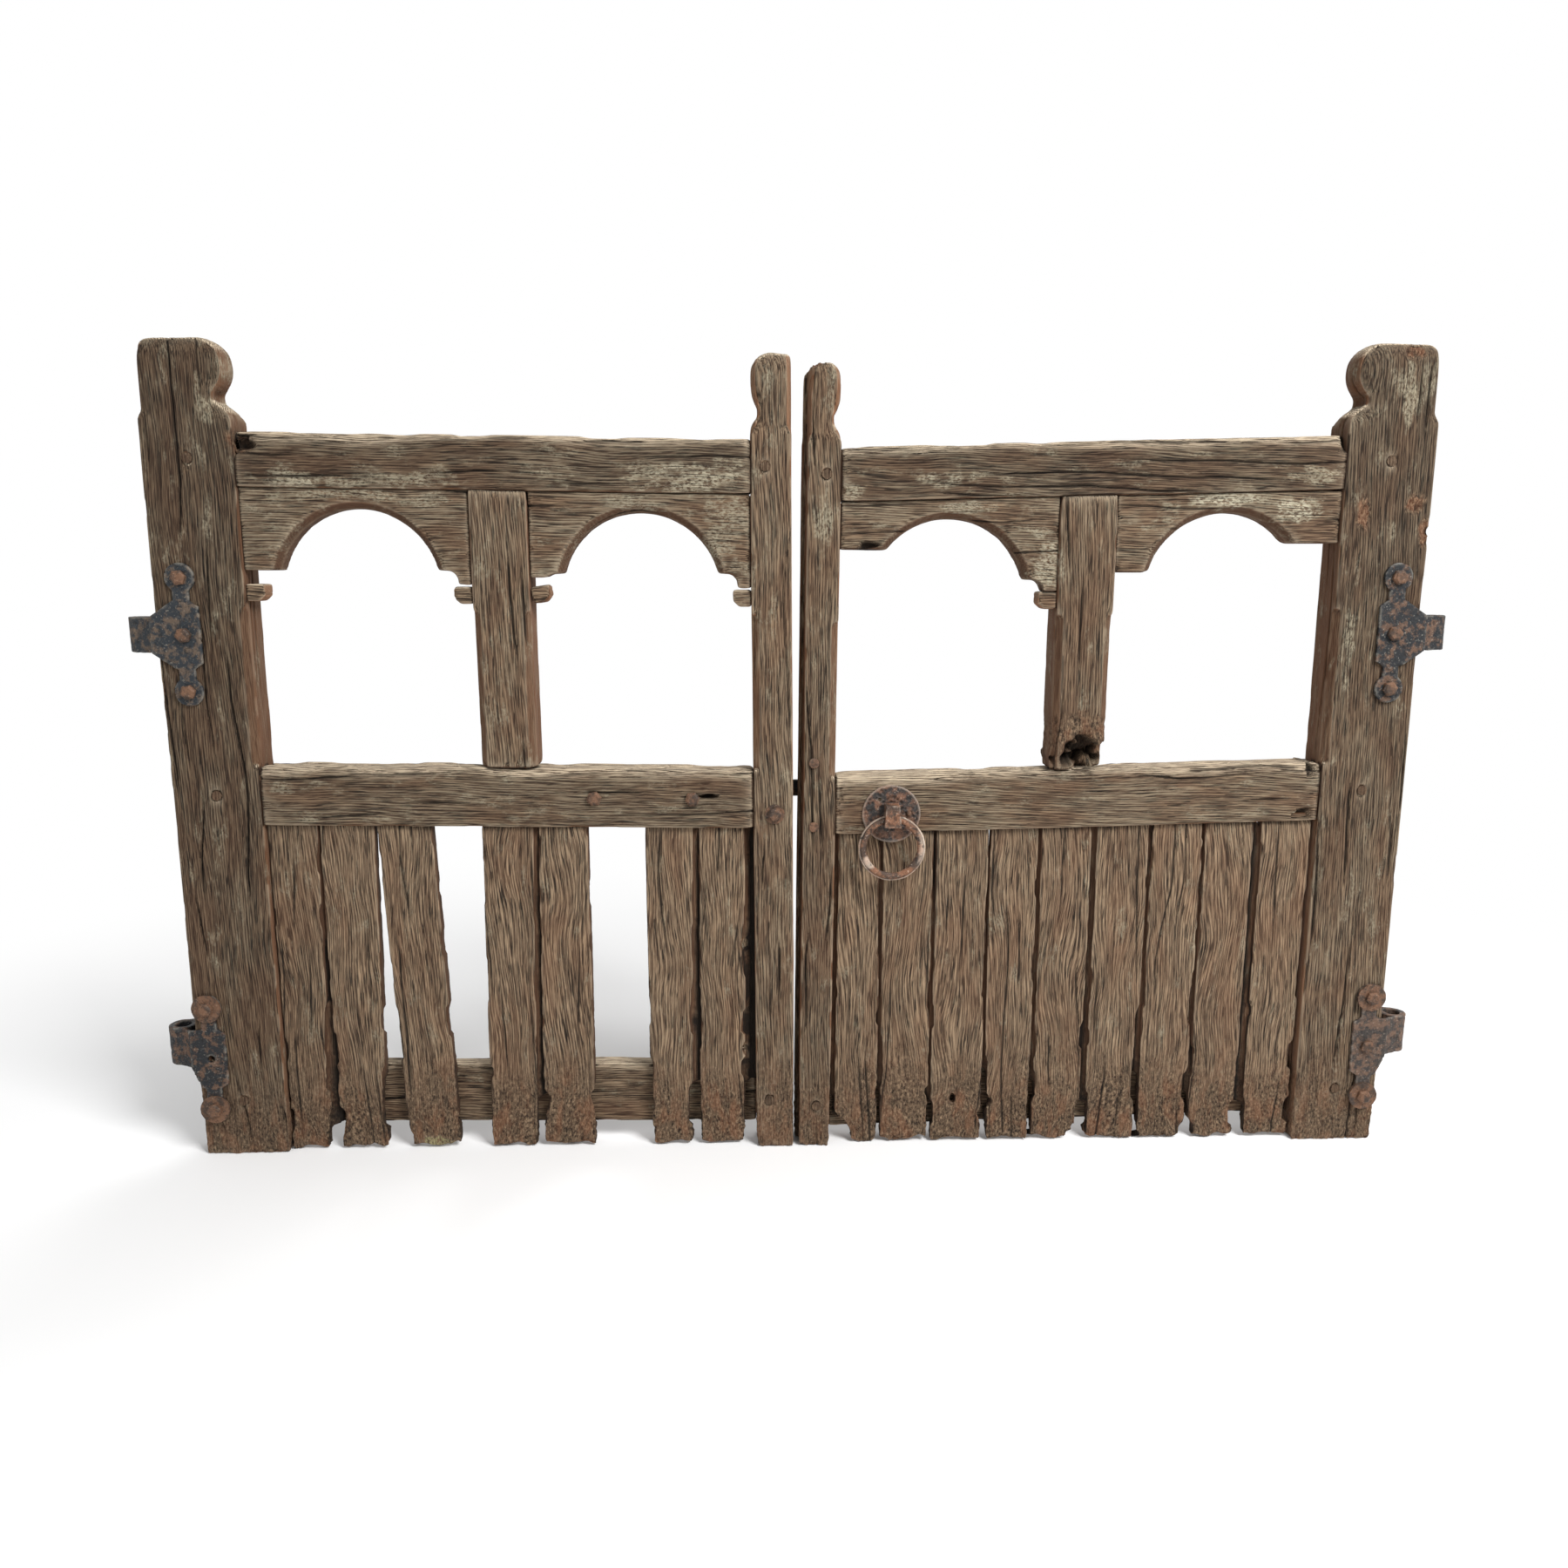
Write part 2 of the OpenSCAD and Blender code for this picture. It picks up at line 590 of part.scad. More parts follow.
// Outline of a hinge plate on the bolt line u round the height z: a lobe at each end on a neck,
// and a body that runs out over the stile edge to the eye at the height ez
module plate_outline(u, z, eh, ez) {
  w = lobe_r * 9 / 8;
  n = lobe_r * 5 / 9;
  h = bolt_step * 4 / 7;
  e = -plate_t * 3 / 2;
  for (s = [-1, 1]) translate([u, z + s * bolt_step]) circle(lobe_r);
  translate([u - n, z - bolt_step]) square([2 * n, 2 * bolt_step]);
  polygon([[e, ez - eh / 2], [u - w * 3 / 4, z - h], [u - n / 2, z - h - n / 2], [u + n / 2, z - h - n / 2],
    [u + w, z - h + n / 2], [u + w, z + h - n / 2], [u + n / 2, z + h + n / 2], [u - n / 2, z + h + n / 2],
    [u - w * 3 / 4, z + h], [e, ez + eh / 2]]);
}
// Hinge with a plate on each face and the strap between them rolled into an eye
module hinge(f, u, z, eh, ez) {
  half_t = wood_t / 2;
  leaf(f) difference() {
    union() {
      slab(-plate_t, plate_t) plate_outline(u, z, eh, ez);
      slab(wood_t, plate_t) plate_outline(u, z, eh, ez);
      translate([0, 0, ez - eh / 2]) linear_extrude(eh) {
        translate([-eye_off, 0]) circle(eye_r);
        for (s = [-1, 1]) polygon([[-gap, s * (half_t + plate_t)], [-gap, s * half_t],
          [-eye_off, s * (eye_r - plate_t)], [-eye_off, s * eye_r]]);
      }
    }
    translate([-eye_off, 0, ez - eh / 2 - over]) cylinder(h = eh + 2 * over, r = bore_r);
    for (i = [-1, 0, 1])
      pin(u, z + i * bolt_step, -plate_t - over, bolt_r + slip, wood_t + 2 * plate_t + 2 * over);
  }
}
module upper_hinge(f) { hinge(f, up_bolt_u, up_hinge_z, up_eye_h, up_hinge_z); }
module lower_hinge(f) { hinge(f, low_bolt_u, low_hinge_z, low_eye_h, low_hinge_z + low_eye_rise); }
// One bolt with a washer of radius wr (0 for none) on front depth n, and its nut behind the depth m
module bolt(u, z, n, m, wr) {
  wt = wr > 0 ? washer_t : 0;
  pin(u, z, n - wt, bolt_r, m - n + wt + head_t + bolt_r);
  hex(u, z, n - wt - head_t, head_w, head_t);
  hex(u, z, m, head_w, head_t);
  if (wr > 0) pin(u, z, n - wt, wr, wt);
}
module hinge_bolts(f) {
  back = wood_t + plate_t;
  leaf(f) for (i = [-1, 0, 1]) {
    bolt(up_bolt_u, up_hinge_z + i * bolt_step, -plate_t, back, 0);
    wr = i == 0 ? 0 : washer_r;
    if (f == 1 || i != 0) bolt(low_bolt_u, low_hinge_z + i * bolt_step, -plate_t, back, wr);
  }
}
module pegs(f) {
  leaf(f) peg_row(f, peg_r);
}
// Two bolts left in the left middle rail
module rail_bolt_row(r, n, t) {
  for (s = bolt_shares) {
    u = leaf_w * s;
    pin(u, sag(0, u, mid_rail_z - mid_rail_h / 2), n, r, t);
  }
}
module left_rail_bolts() {
  leaf(0) for (s = bolt_shares) {
    u = leaf_w * s;
    bolt(u, sag(0, u, mid_rail_z - mid_rail_h / 2), 0, wood_t, 0);
  }
}
module left_keep_bolt() {
  leaf(0) bolt(leaf_w - left_meet_w / 2, spindle_z, 0, wood_t, washer_r * 2 / 3);
}
// Domed rose plate with one rivet hole empty
module rose() {
  leaf(1) difference() {
    translate([spindle_u, -wood_t / 2, spindle_z]) rotate([90, 0, 0])
      cylinder(h = rose_t, r1 = rose_r, r2 = rose_r - rose_t / 2);
    pin(spindle_u, spindle_z, -rose_t - over, spindle_r + gap, rose_t + 2 * over);
    pin(spindle_u - rose_r * 3 / 5, spindle_z, -rose_t - over, bolt_r / 2 + slip, rose_t + 2 * over);
    pin(spindle_u + rose_r * 2 / 5, spindle_z + rose_r / 2, -rose_t - over, bolt_r / 2, rose_t + 2 * over);
  }
}
module rose_rivet() {
  u = spindle_u - rose_r * 3 / 5;
  leaf(1) {
    pin(u, spindle_z, -rose_t - over, bolt_r / 2, rose_t + over + board_set / 2);
    intersection() {
      translate([u, -rose_t - wood_t / 2, spindle_z]) sphere(bolt_r * 4 / 5);
      pin(u, spindle_z, -rose_t - bolt_r, bolt_r, bolt_r);
    }
  }
}
// Boss with the ring hole, on the spindle that goes through the rail to the lifter
module boss() {
  leaf(1) difference() {
    union() {
      slab(boss_n, boss_d) translate([spindle_u, spindle_z])
        polygon([[-boss_w * 2 / 5, boss_h / 2], [boss_w * 2 / 5, boss_h / 2],
          [boss_w / 2, -boss_h / 2], [-boss_w / 2, -boss_h / 2]]);
      pin(spindle_u, spindle_z, -rose_t - gap, spindle_r, rose_t + gap + wood_t);
      translate([spindle_u, wood_t / 2 + finger_t, spindle_z])
        cube([spindle_r, 2 * finger_t + bar_t, spindle_r], center = true);
    }
    translate([spindle_u - boss_w, ring_n - wood_t / 2, spindle_z - boss_h / 8])
      rotate([0, 90, 0]) cylinder(h = 2 * boss_w, r = hole_r);
  }
}
// Lifter finger under the latch bar
module lifter() {
  tip = bar_low - gap;
  leaf(1) slab(wood_t + gap, finger_t + bar_t / 2) difference() {
    union() {
      translate([spindle_u, spindle_z]) circle(spindle_r * 3 / 2);
      polygon([[spindle_u, spindle_z - spindle_r], [spindle_u + finger_l, tip - finger_t],
        [spindle_u + finger_l, tip], [spindle_u + finger_l - finger_t, tip],
        [spindle_u, spindle_z + spindle_r]]);
    }
    translate([spindle_u, spindle_z]) square(spindle_r + slip, center = true);
  }
}
// Ring with a bead round its outer edge
module ring() {
  ring_z = spindle_z - boss_h / 8 - ring_low - ring_r;
  leaf(1) translate([spindle_u, ring_n - wood_t / 2, ring_z]) rotate([90, 0, 0])
    rotate_extrude($fn = 72) {
      translate([ring_r, 0]) circle(ring_bar_r, $fn = 24);
      translate([ring_r + ring_bar_r, 0]) circle(bead_r, $fn = 16);
    }
}
// Latch bar on the back, with a round pivot end and a tapered tip past the meeting edge
module latch_bar() {
  tip = leaf_w + bar_over;
  leaf(1) slab(bar_n, bar_t) difference() {
    union() {
      translate([pivot_u, pivot_z]) circle(bar_h * 3 / 5);
      polygon([[pivot_u, bar_low], [tip - bar_h, bar_low], [tip, bar_low + bar_h / 3],
        [tip, bar_low + bar_h * 2 / 3], [tip - bar_h, bar_low + bar_h], [pivot_u, bar_low + bar_h]]);
    }
    translate([pivot_u, pivot_z]) circle(bolt_r + gap);
  }
}
// Screw bolt that the latch bar turns on, with a collar against the rail
module latch_pivot() {
  leaf(1) {
    n = wood_t - board_back - groove_d;
    pin(pivot_u, pivot_z, n, bolt_r, bar_n + bar_t + head_t - n);
    pin(pivot_u, pivot_z, wood_t, bolt_r * 2, bar_n - wood_t - gap);
    hex(pivot_u, pivot_z, bar_n + bar_t + gap, head_w, head_t);
  }
}
// One leg of the staple, wider by c on each side
module staple_leg(s, c) {
  translate([staple_u, staple_d / 2, staple_z + s * staple_h / 2])
    cube([staple_w + 2 * c, wood_t + staple_d + c, staple_w + 2 * c], center = true);
}
// Staple that guides the latch bar, its legs driven through the meeting stile
module staple() {
  leaf(1) {
    for (s = [-1, 1]) staple_leg(s, 0);
    translate([staple_u, wood_t / 2 + staple_d + staple_w / 2, staple_z])
      cube([staple_w, staple_w, staple_h + staple_w], center = true);
  }
}

color("#6b5a48") hanging_stile(0);  // left_hanging_stile
color("#6b5a48") meeting_stile(0);  // left_meeting_stile
color("#7a6a55") top_rail(0);  // left_top_rail
color("#7a6a55") mid_rail(0);  // left_mid_rail
color("#5c4c3e") bottom_rail(0);  // left_bottom_rail
color("#6b5a48") muntin(0);  // left_muntin
color("#857764") arch(0, 0, cusp_z, foot_z);  // left_outer_arch
color("#857764") arch(0, 1, cusp_z - bolt_r, foot_z);  // left_inner_arch
color("#5c4c3e") impost(0, hang_w, 1, foot_z, 0);  // left_impost_stile
color("#5c4c3e")  // left_impost_muntin_out
  impost(0, muntin_u(0) - muntin_w / 2, -1, foot_z - gap, 0);
color("#5c4c3e")  // left_impost_muntin_in
  impost(0, muntin_u(0) + muntin_w / 2, 1, foot_z + gap, 8);
color("#5c4c3e")  // left_impost_meeting
  impost(0, meet_u(0, foot_z), -1, foot_z - gap, 0);
for (i = [0:6]) color("#7d6a55") board(0, i);
color("#3a3d40") upper_hinge(0);  // left_upper_hinge
color("#3a3d40") lower_hinge(0);  // left_lower_hinge
color("#7d5b4a") hinge_bolts(0);  // left_hinge_bolts
color("#4e4034") pegs(0);  // left_pegs
color("#7d5b4a") left_rail_bolts();
color("#7d5b4a") left_keep_bolt();
color("#6b5a48") hanging_stile(1);  // right_hanging_stile
color("#6b5a48") meeting_stile(1);  // right_meeting_stile
color("#7a6a55") top_rail(1);  // right_top_rail
color("#7a6a55") mid_rail(1);  // right_mid_rail
color("#5c4c3e") bottom_rail(1);  // right_bottom_rail
color("#6b5a48") muntin(1);  // right_muntin
color("#857764") arch(1, 0, break_z, cusp_z);  // right_outer_arch
color("#857764") arch(1, 1, foot_z, break_z);  // right_inner_arch
color("#5c4c3e")  // right_impost_muntin_in
  impost(1, muntin_u(1) + muntin_w / 2, 1, foot_z - 2 * gap, 0);
for (i = [0:8]) color("#7d6a55") board(1, i);
color("#3a3d40") upper_hinge(1);  // right_upper_hinge
color("#3a3d40") lower_hinge(1);  // right_lower_hinge
color("#7d5b4a") hinge_bolts(1);  // right_hinge_bolts
color("#4e4034") pegs(1);  // right_pegs
color("#4a4542") rose();
color("#8a5f4b") rose_rivet();
color("#7d5b4a") boss();
color("#4a4542") lifter();
color("#8a5f4b") ring();
color("#4a4542") latch_bar();
color("#4a4542") latch_pivot();
color("#4a4542") staple();
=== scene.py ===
# %% [markdown]
# # A pair of weathered oak church gates
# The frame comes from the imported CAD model: every node is already a mesh in its place, in metres.
# This lesson dresses it. Oak pieces get grain, checks and worn edges as real geometry, iron gets
# pits and rust, and the small fixings are made with Geometry Nodes.

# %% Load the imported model
import json
import math
from functools import partial

import bmesh
import bpy
import numpy as np
from mathutils import Matrix, Vector
from mathutils.bvhtree import BVHTree


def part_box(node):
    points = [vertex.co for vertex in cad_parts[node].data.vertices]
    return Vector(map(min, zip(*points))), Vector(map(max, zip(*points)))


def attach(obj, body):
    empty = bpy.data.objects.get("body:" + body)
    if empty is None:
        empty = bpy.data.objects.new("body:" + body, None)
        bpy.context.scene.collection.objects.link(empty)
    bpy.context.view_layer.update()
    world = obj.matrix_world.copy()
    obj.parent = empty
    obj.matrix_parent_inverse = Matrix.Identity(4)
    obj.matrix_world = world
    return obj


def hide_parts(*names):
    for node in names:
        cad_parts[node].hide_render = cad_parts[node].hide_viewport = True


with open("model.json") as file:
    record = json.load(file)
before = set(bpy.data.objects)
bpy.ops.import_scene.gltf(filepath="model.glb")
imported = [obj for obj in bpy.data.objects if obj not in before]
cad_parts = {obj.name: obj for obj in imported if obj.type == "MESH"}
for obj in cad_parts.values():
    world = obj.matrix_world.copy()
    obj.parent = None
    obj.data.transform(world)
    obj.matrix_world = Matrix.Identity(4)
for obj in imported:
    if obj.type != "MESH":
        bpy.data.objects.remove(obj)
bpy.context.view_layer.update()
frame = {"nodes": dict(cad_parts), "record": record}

NODES = frame["nodes"]
MM = 0.001

# %% [markdown]
# ## Camera
# The photograph was taken a little above waist height, nearly square to the gates, with a wide lens
# that looks slightly down. The numbers come from lining up the stiles and rails in the photograph.
# The focal length is kept in pixels of the photograph, because that is how it was measured.

# %% Camera at the photograph's place
IMAGE_SIDE_PX = 1800
FOCAL_PX = 1360
SENSOR_MM = 36
EYE = Vector((-0.0724, -1.9257, 0.988))
PITCH_DOWN = math.radians(10.49)
TURN_RIGHT = 0.0272

camera_data = bpy.data.cameras.new("photo_camera")
camera_data.sensor_width = SENSOR_MM
camera_data.lens = SENSOR_MM * FOCAL_PX / IMAGE_SIDE_PX
camera = bpy.data.objects.new("photo_camera", camera_data)
camera.location = EYE
camera.rotation_euler = (math.pi / 2 - PITCH_DOWN, 0, -TURN_RIGHT)
bpy.context.collection.objects.link(camera)
bpy.context.scene.camera = camera
print("lens:", round(camera_data.lens, 2), "mm")

# %% [markdown]
# ## Node helpers
# A material or a Geometry Nodes tree is a list of nodes and links. Small helpers add a node, set its inputs
# and hand back the output that is needed. Wherever one takes a number, a socket will do as well.

# %% Helpers for node trees
MIX_FACTOR, MIX_FIRST, MIX_SECOND, MIX_RESULT = 0, 6, 7, 2


def linear(red, green, blue):
    """A screen colour of 0 to 255 as a linear RGBA colour."""
    made = []
    for value in (red, green, blue):
        part = value / 255
        made.append(part / 12.92 if part <= 0.04045 else ((part + 0.055) / 1.055) ** 2.4)
    return (*made, 1.0)


def set_input(tree, socket, value):
    """Links an input to a socket, or sets it to a plain value."""
    if isinstance(value, bpy.types.NodeSocket):
        tree.links.new(value, socket)
    else:
        socket.default_value = value


def add(tree, kind, settings=None, **inputs):
    """Adds a node; settings are its properties and inputs are values or sockets by name."""
    node = tree.nodes.new(kind)
    for name, value in (settings or {}).items():
        setattr(node, name, value)
    for name, value in inputs.items():
        set_input(tree, node.inputs[name.replace("_", " ")], value)
    return node


def math_node(tree, operation, *operands, clamp=False):
    """A Math node's result."""
    node = add(tree, "ShaderNodeMath", {"operation": operation, "use_clamp": clamp})
    for socket, value in zip(node.inputs, operands):
        set_input(tree, socket, value)
    return node.outputs[0]


def times(tree, first, second, clamp=False):
    """The product of two numbers."""
    return math_node(tree, "MULTIPLY", first, second, clamp=clamp)


def blend_colour(tree, amount, first, second):
    """A mix of two colours."""
    node = add(tree, "ShaderNodeMix", {"data_type": "RGBA"})
    for index, value in ((MIX_FACTOR, amount), (MIX_FIRST, first), (MIX_SECOND, second)):
        set_input(tree, node.inputs[index], value)
    return node.outputs[MIX_RESULT]


def step_between(tree, value, low, high):
    """0 below low, 1 above high, smooth between."""
    return add(tree, "ShaderNodeMapRange", {"interpolation_type": "SMOOTHSTEP"}, Value=value, From_Min=low,
               From_Max=high).outputs["Result"]


def noise_node(tree, vector, scale, detail=3.0, roughness=0.55, distortion=0.0):
    """A Noise Texture's grey value on a vector."""
    return add(tree, "ShaderNodeTexNoise", None, Vector=vector, Scale=scale, Detail=detail,
               Roughness=roughness, Distortion=distortion).outputs[0]


def vector_sum(tree, first, second):
    """Two vectors added."""
    node = add(tree, "ShaderNodeVectorMath", {"operation": "ADD"})
    set_input(tree, node.inputs[0], first)
    set_input(tree, node.inputs[1], second)
    return node.outputs[0]


def attribute(tree, name):
    """A number kept on the mesh's points."""
    return add(tree, "ShaderNodeAttribute", {"attribute_name": name}).outputs["Fac"]


def object_place(tree):
    """Object coordinates, in the metres of the model."""
    return tree.nodes.new("ShaderNodeTexCoord").outputs["Object"]


def seen_directly(tree):
    """1 for rays from the camera, off shiny things and through clear ones, and 0 for all others."""
    path = tree.nodes.new("ShaderNodeLightPath")
    seen = math_node(tree, "ADD", path.outputs["Is Camera Ray"], path.outputs["Is Glossy Ray"])
    return math_node(tree, "ADD", seen, path.outputs["Is Transmission Ray"], clamp=True)


def new_material(name):
    """An empty node material with a Principled shader; returns material, tree and shader."""
    material = bpy.data.materials.new(name)
    material.use_nodes = True
    tree = material.node_tree
    return material, tree, tree.nodes["Principled BSDF"]


def roughen_surface(tree, shader, rough, relief, strength, depth):
    """Links roughness and a bump of the given depth to a shader."""
    tree.links.new(rough, shader.inputs["Roughness"])
    bump = add(tree, "ShaderNodeBump", None, Strength=strength, Distance=depth, Height=relief)
    tree.links.new(bump.outputs[0], shader.inputs["Normal"])


def finish_helpers(tree):
    """The helpers that finishes use most, each with its tree filled in."""
    return [partial(helper, tree) for helper in (attribute, step_between, times, blend_colour)]


print("helpers ready")

# %% [markdown]
# ## Floor, backdrop and light
# A plain pale floor takes the shadow and fades to white away from the gates. The world is white to the
# camera and to reflections, and only a soft grey to everything else, so the background stays pale without
# more light on the oak. The main light stands high on the right, as it did in the photograph.

# %% Stage and lamps
FLOOR_SIDE = 14.0
FLOOR_GREY = 0.88
FADE_FROM = 0.9
FADE_TO = 2.4
WORLD_LIGHT = 0.40
WHITE = (1, 1, 1, 1)
# Name, place, aim, side in metres and power in watts
LAMPS = [
    ("key_lamp", (2.3, -2.7, 3.7), (0, 0, 0.6), 1.8, 300),
    ("fill_lamp", (-2.8, -3.2, 1.9), (0, 0, 0.6), 2.5, 24),
    ("back_lamp", (0.6, 3.2, 3.2), (0, 0, 0.7), 2.5, 65)]

floor_mesh = bpy.data.meshes.new("floor")
half = FLOOR_SIDE / 2
floor_mesh.from_pydata([(-half, -half, 0), (half, -half, 0), (half, half, 0), (-half, half, 0)], [],
                       [(0, 1, 2, 3)])
floor = bpy.data.objects.new("floor", floor_mesh)
bpy.context.collection.objects.link(floor)

floor_paint, tree, shader = new_material("pale_floor")
shader.inputs["Base Color"].default_value = (FLOOR_GREY, FLOOR_GREY, FLOOR_GREY, 1)
shader.inputs["Roughness"].default_value = 0.9
spread = add(tree, "ShaderNodeVectorMath", {"operation": "LENGTH"})
tree.links.new(object_place(tree), spread.inputs[0])
far = times(tree, seen_directly(tree), step_between(tree, spread.outputs["Value"], FADE_FROM, FADE_TO))
glow = add(tree, "ShaderNodeEmission", None, Color=WHITE, Strength=1.0)
fade = add(tree, "ShaderNodeMixShader", None, Fac=far)
tree.links.new(shader.outputs[0], fade.inputs[1])
tree.links.new(glow.outputs[0], fade.inputs[2])
tree.links.new(fade.outputs[0], tree.nodes["Material Output"].inputs["Surface"])
floor_mesh.materials.append(floor_paint)

world = bpy.data.worlds.new("studio")
bpy.context.scene.world = world
world.use_nodes = True
tree = world.node_tree
background = tree.nodes["Background"]
background.inputs["Color"].default_value = WHITE
strength = math_node(tree, "MULTIPLY_ADD", seen_directly(tree), 1 - WORLD_LIGHT, WORLD_LIGHT)
tree.links.new(strength, background.inputs["Strength"])

for name, place, aim, side, power in LAMPS:
    data = bpy.data.lights.new(name, "AREA")
    data.size = side
    data.energy = power
    lamp = bpy.data.objects.new(name, data)
    lamp.location = place
    lamp.rotation_euler = (Vector(aim) - Vector(place)).to_track_quat("-Z", "Y").to_euler()
    bpy.context.collection.objects.link(lamp)
bpy.context.scene.view_settings.view_transform = "Standard"
print("lamps:", [lamp[0] for lamp in LAMPS])

# %% [markdown]
# ## Noise for shaping
# Weathered oak is rough in a way that follows the grain, so its vertices are pushed about by noise that is
# long along the grain and short across it. A small value noise in NumPy moves hundreds of thousands of
# points at once, and a fixed table makes it the same on every run.

# %% Seeded noise on arrays of points
NOISE_TABLE = np.random.default_rng(20).random(65536) * 2 - 1


def value_noise(points, seed):
    """Smooth noise of -1 to 1 at each row of points."""
    cell = np.floor(points).astype(np.int64)
    part = points - cell
    part = part * part * (3 - 2 * part)
    total = np.zeros(len(points))
    for corner in range(8):
        dx, dy, dz = corner & 1, corner >> 1 & 1, corner >> 2 & 1
        key = (cell[:, 0] + dx) * 73856093 ^ (cell[:, 1] + dy) * 19349663 ^ (cell[:, 2] + dz) * 83492791
        value = NOISE_TABLE[(key ^ seed * 7919) & 65535]
        weight = np.abs(1 - dx - part[:, 0]) * np.abs(1 - dy - part[:, 1]) * np.abs(1 - dz - part[:, 2])
        total += value * weight
    return total


def ramp(values, low, high):
    """0 below low, 1 above high, smooth between."""
    share = np.clip((values - low) / (high - low), 0, 1)
    return share * share * (3 - 2 * share)


print("noise check:", np.round(value_noise(np.array([[0.3, 1.7, 2.2]]), 1), 4))

# %% [markdown]
# ## Remeshing along the grain
# A CAD solid has long thin triangles that can't be shaped. A voxel remesh gives even ones, but even ones
# are wasted along the grain, where oak hardly changes. So the piece is squeezed along its grain first,
# remeshed, relaxed a little to round its worn edges, and stretched back.

# %% Copy a node as an even mesh
AXES = {"x": 0, "y": 1, "z": 2}
PROUD_PASSES = 6


def even_mesh(node, voxel, grain="z", squeeze=1.0, relax_passes=2):
    """A remeshed copy of a CAD node: mesh, points, normals, how proud each point stands, and edges."""
    mesh = NODES[node].data.copy()
    shape = bmesh.new()
    shape.from_mesh(mesh)
    bmesh.ops.remove_doubles(shape, verts=shape.verts, dist=1e-6)
    shape.to_mesh(mesh)
    shape.free()
    axis = Vector([float(i == AXES[grain]) for i in range(3)])
    mesh.transform(Matrix.Scale(1 / squeeze, 4, axis))
    rough = bpy.data.objects.new("rough_" + node, mesh)
    bpy.context.collection.objects.link(rough)
    remesh = rough.modifiers.new("voxels", "REMESH")
    remesh.mode = "VOXEL"
    remesh.voxel_size = voxel
    made = bpy.data.meshes.new_from_object(rough.evaluated_get(bpy.context.evaluated_depsgraph_get()))
    bpy.data.objects.remove(rough)
    bpy.data.meshes.remove(mesh)

    points = np.empty(len(made.vertices) * 3)
    made.vertices.foreach_get("co", points)
    points = points.reshape(-1, 3)
    edges = np.empty(len(made.edges) * 2, dtype=np.int64)
    made.edges.foreach_get("vertices", edges)
    edges = edges.reshape(-1, 2)
    soft = relaxed(points, edges, relax_passes)
    softer = relaxed(soft, edges, PROUD_PASSES)
    points_back = soft.copy()
    points_back[:, AXES[grain]] *= squeeze
    made.vertices.foreach_set("co", points_back.ravel())
    made.update()
    normals = vertex_normals(made)
    proud = np.einsum("ij,ij->i", soft - softer, normals) / voxel
    return made, points_back, normals, proud, edges


def relaxed(points, edges, passes):
    """Points drawn towards their neighbours, which rounds edges."""
    count = len(points)
    degree = np.maximum(np.bincount(edges.ravel(), minlength=count), 1)[:, None]
    for _ in range(passes):
        total = np.zeros_like(points)
        for axis in range(3):
            column = points[:, axis]
            total[:, axis] += np.bincount(edges[:, 0], column[edges[:, 1]], count)
            total[:, axis] += np.bincount(edges[:, 1], column[edges[:, 0]], count)
        points = 0.5 * points + 0.5 * total / degree
    return points


def vertex_normals(mesh):
    """Vertex normals as an array."""
    found = np.empty(len(mesh.vertices) * 3)
    mesh.vertex_normals.foreach_get("vector", found)
    return found.reshape(-1, 3)


def place_points(mesh, points):
    """Moves a mesh's vertices to the points."""
    mesh.vertices.foreach_set("co", points.ravel())
    mesh.update()


def store(mesh, name, values):
    """Keeps one number per point on the mesh, for its material; values is an array or one number."""
    layer = mesh.attributes.new(name, "FLOAT", "POINT")
    layer.data.foreach_set("value", np.broadcast_to(values, len(mesh.vertices)).astype(np.float32))


def finish_piece(name, mesh, material, body, node, smooth=True):
    """Makes a piece of a mesh, gives it its material and body, and hides the node it stands for."""
    mesh.name = name
    mesh.materials.clear()
    mesh.materials.append(material)
    mesh.polygons.foreach_set("use_smooth", [smooth] * len(mesh.polygons))
    piece = bpy.data.objects.new(name, mesh)
    bpy.context.collection.objects.link(piece)
    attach(piece, body)
    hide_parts(node)
    return piece


print("remesh helpers ready")

# %% [markdown]
# ## Weathered oak
# The oak has stood outside for many years. Soft early wood has worn back between harder ribs, fine checks
# have opened along the grain, and edges are rounded and chipped. The colour follows that relief: ribs are
# bleached, cracks, pits, joints and the gaps between boards are painted with shade, worn edges are painted
# lighter as wear and as a highlight, tops are silvered, sheltered sides keep a redder brown, and arch
# undersides are browner and partly painted with shade. Relief is stored on the mesh as attributes, so
# colour and shape agree, and grain finer than the mesh is drawn by noise.

# %% Oak finish
OAK_DARK = linear(44, 34, 26)
OAK_BROWN = linear(88, 71, 56)
OAK_PALE = linear(140, 118, 94)
OAK_SILVER = linear(146, 135, 114)
OAK_RED = linear(106, 74, 54)
OAK_RUST = linear(128, 82, 56)
OAK_SIDE = linear(132, 92, 66)
OAK_BLEACH = linear(206, 188, 162)
# Browner colour for arch undersides and sides, partly painted shade
OAK_SOFFIT_AND_SHADE = linear(78, 56, 42)
# Near black for pores and rot, and for the painted shade in cracks, pits, joints and gaps
OAK_BLACK_AND_SHADE = linear(16, 12, 9)
LICHEN = linear(148, 139, 118)
CRUST = linear(182, 175, 152)
MOSS = linear(148, 140, 102)
OAK_BUMP = 1.8 * MM


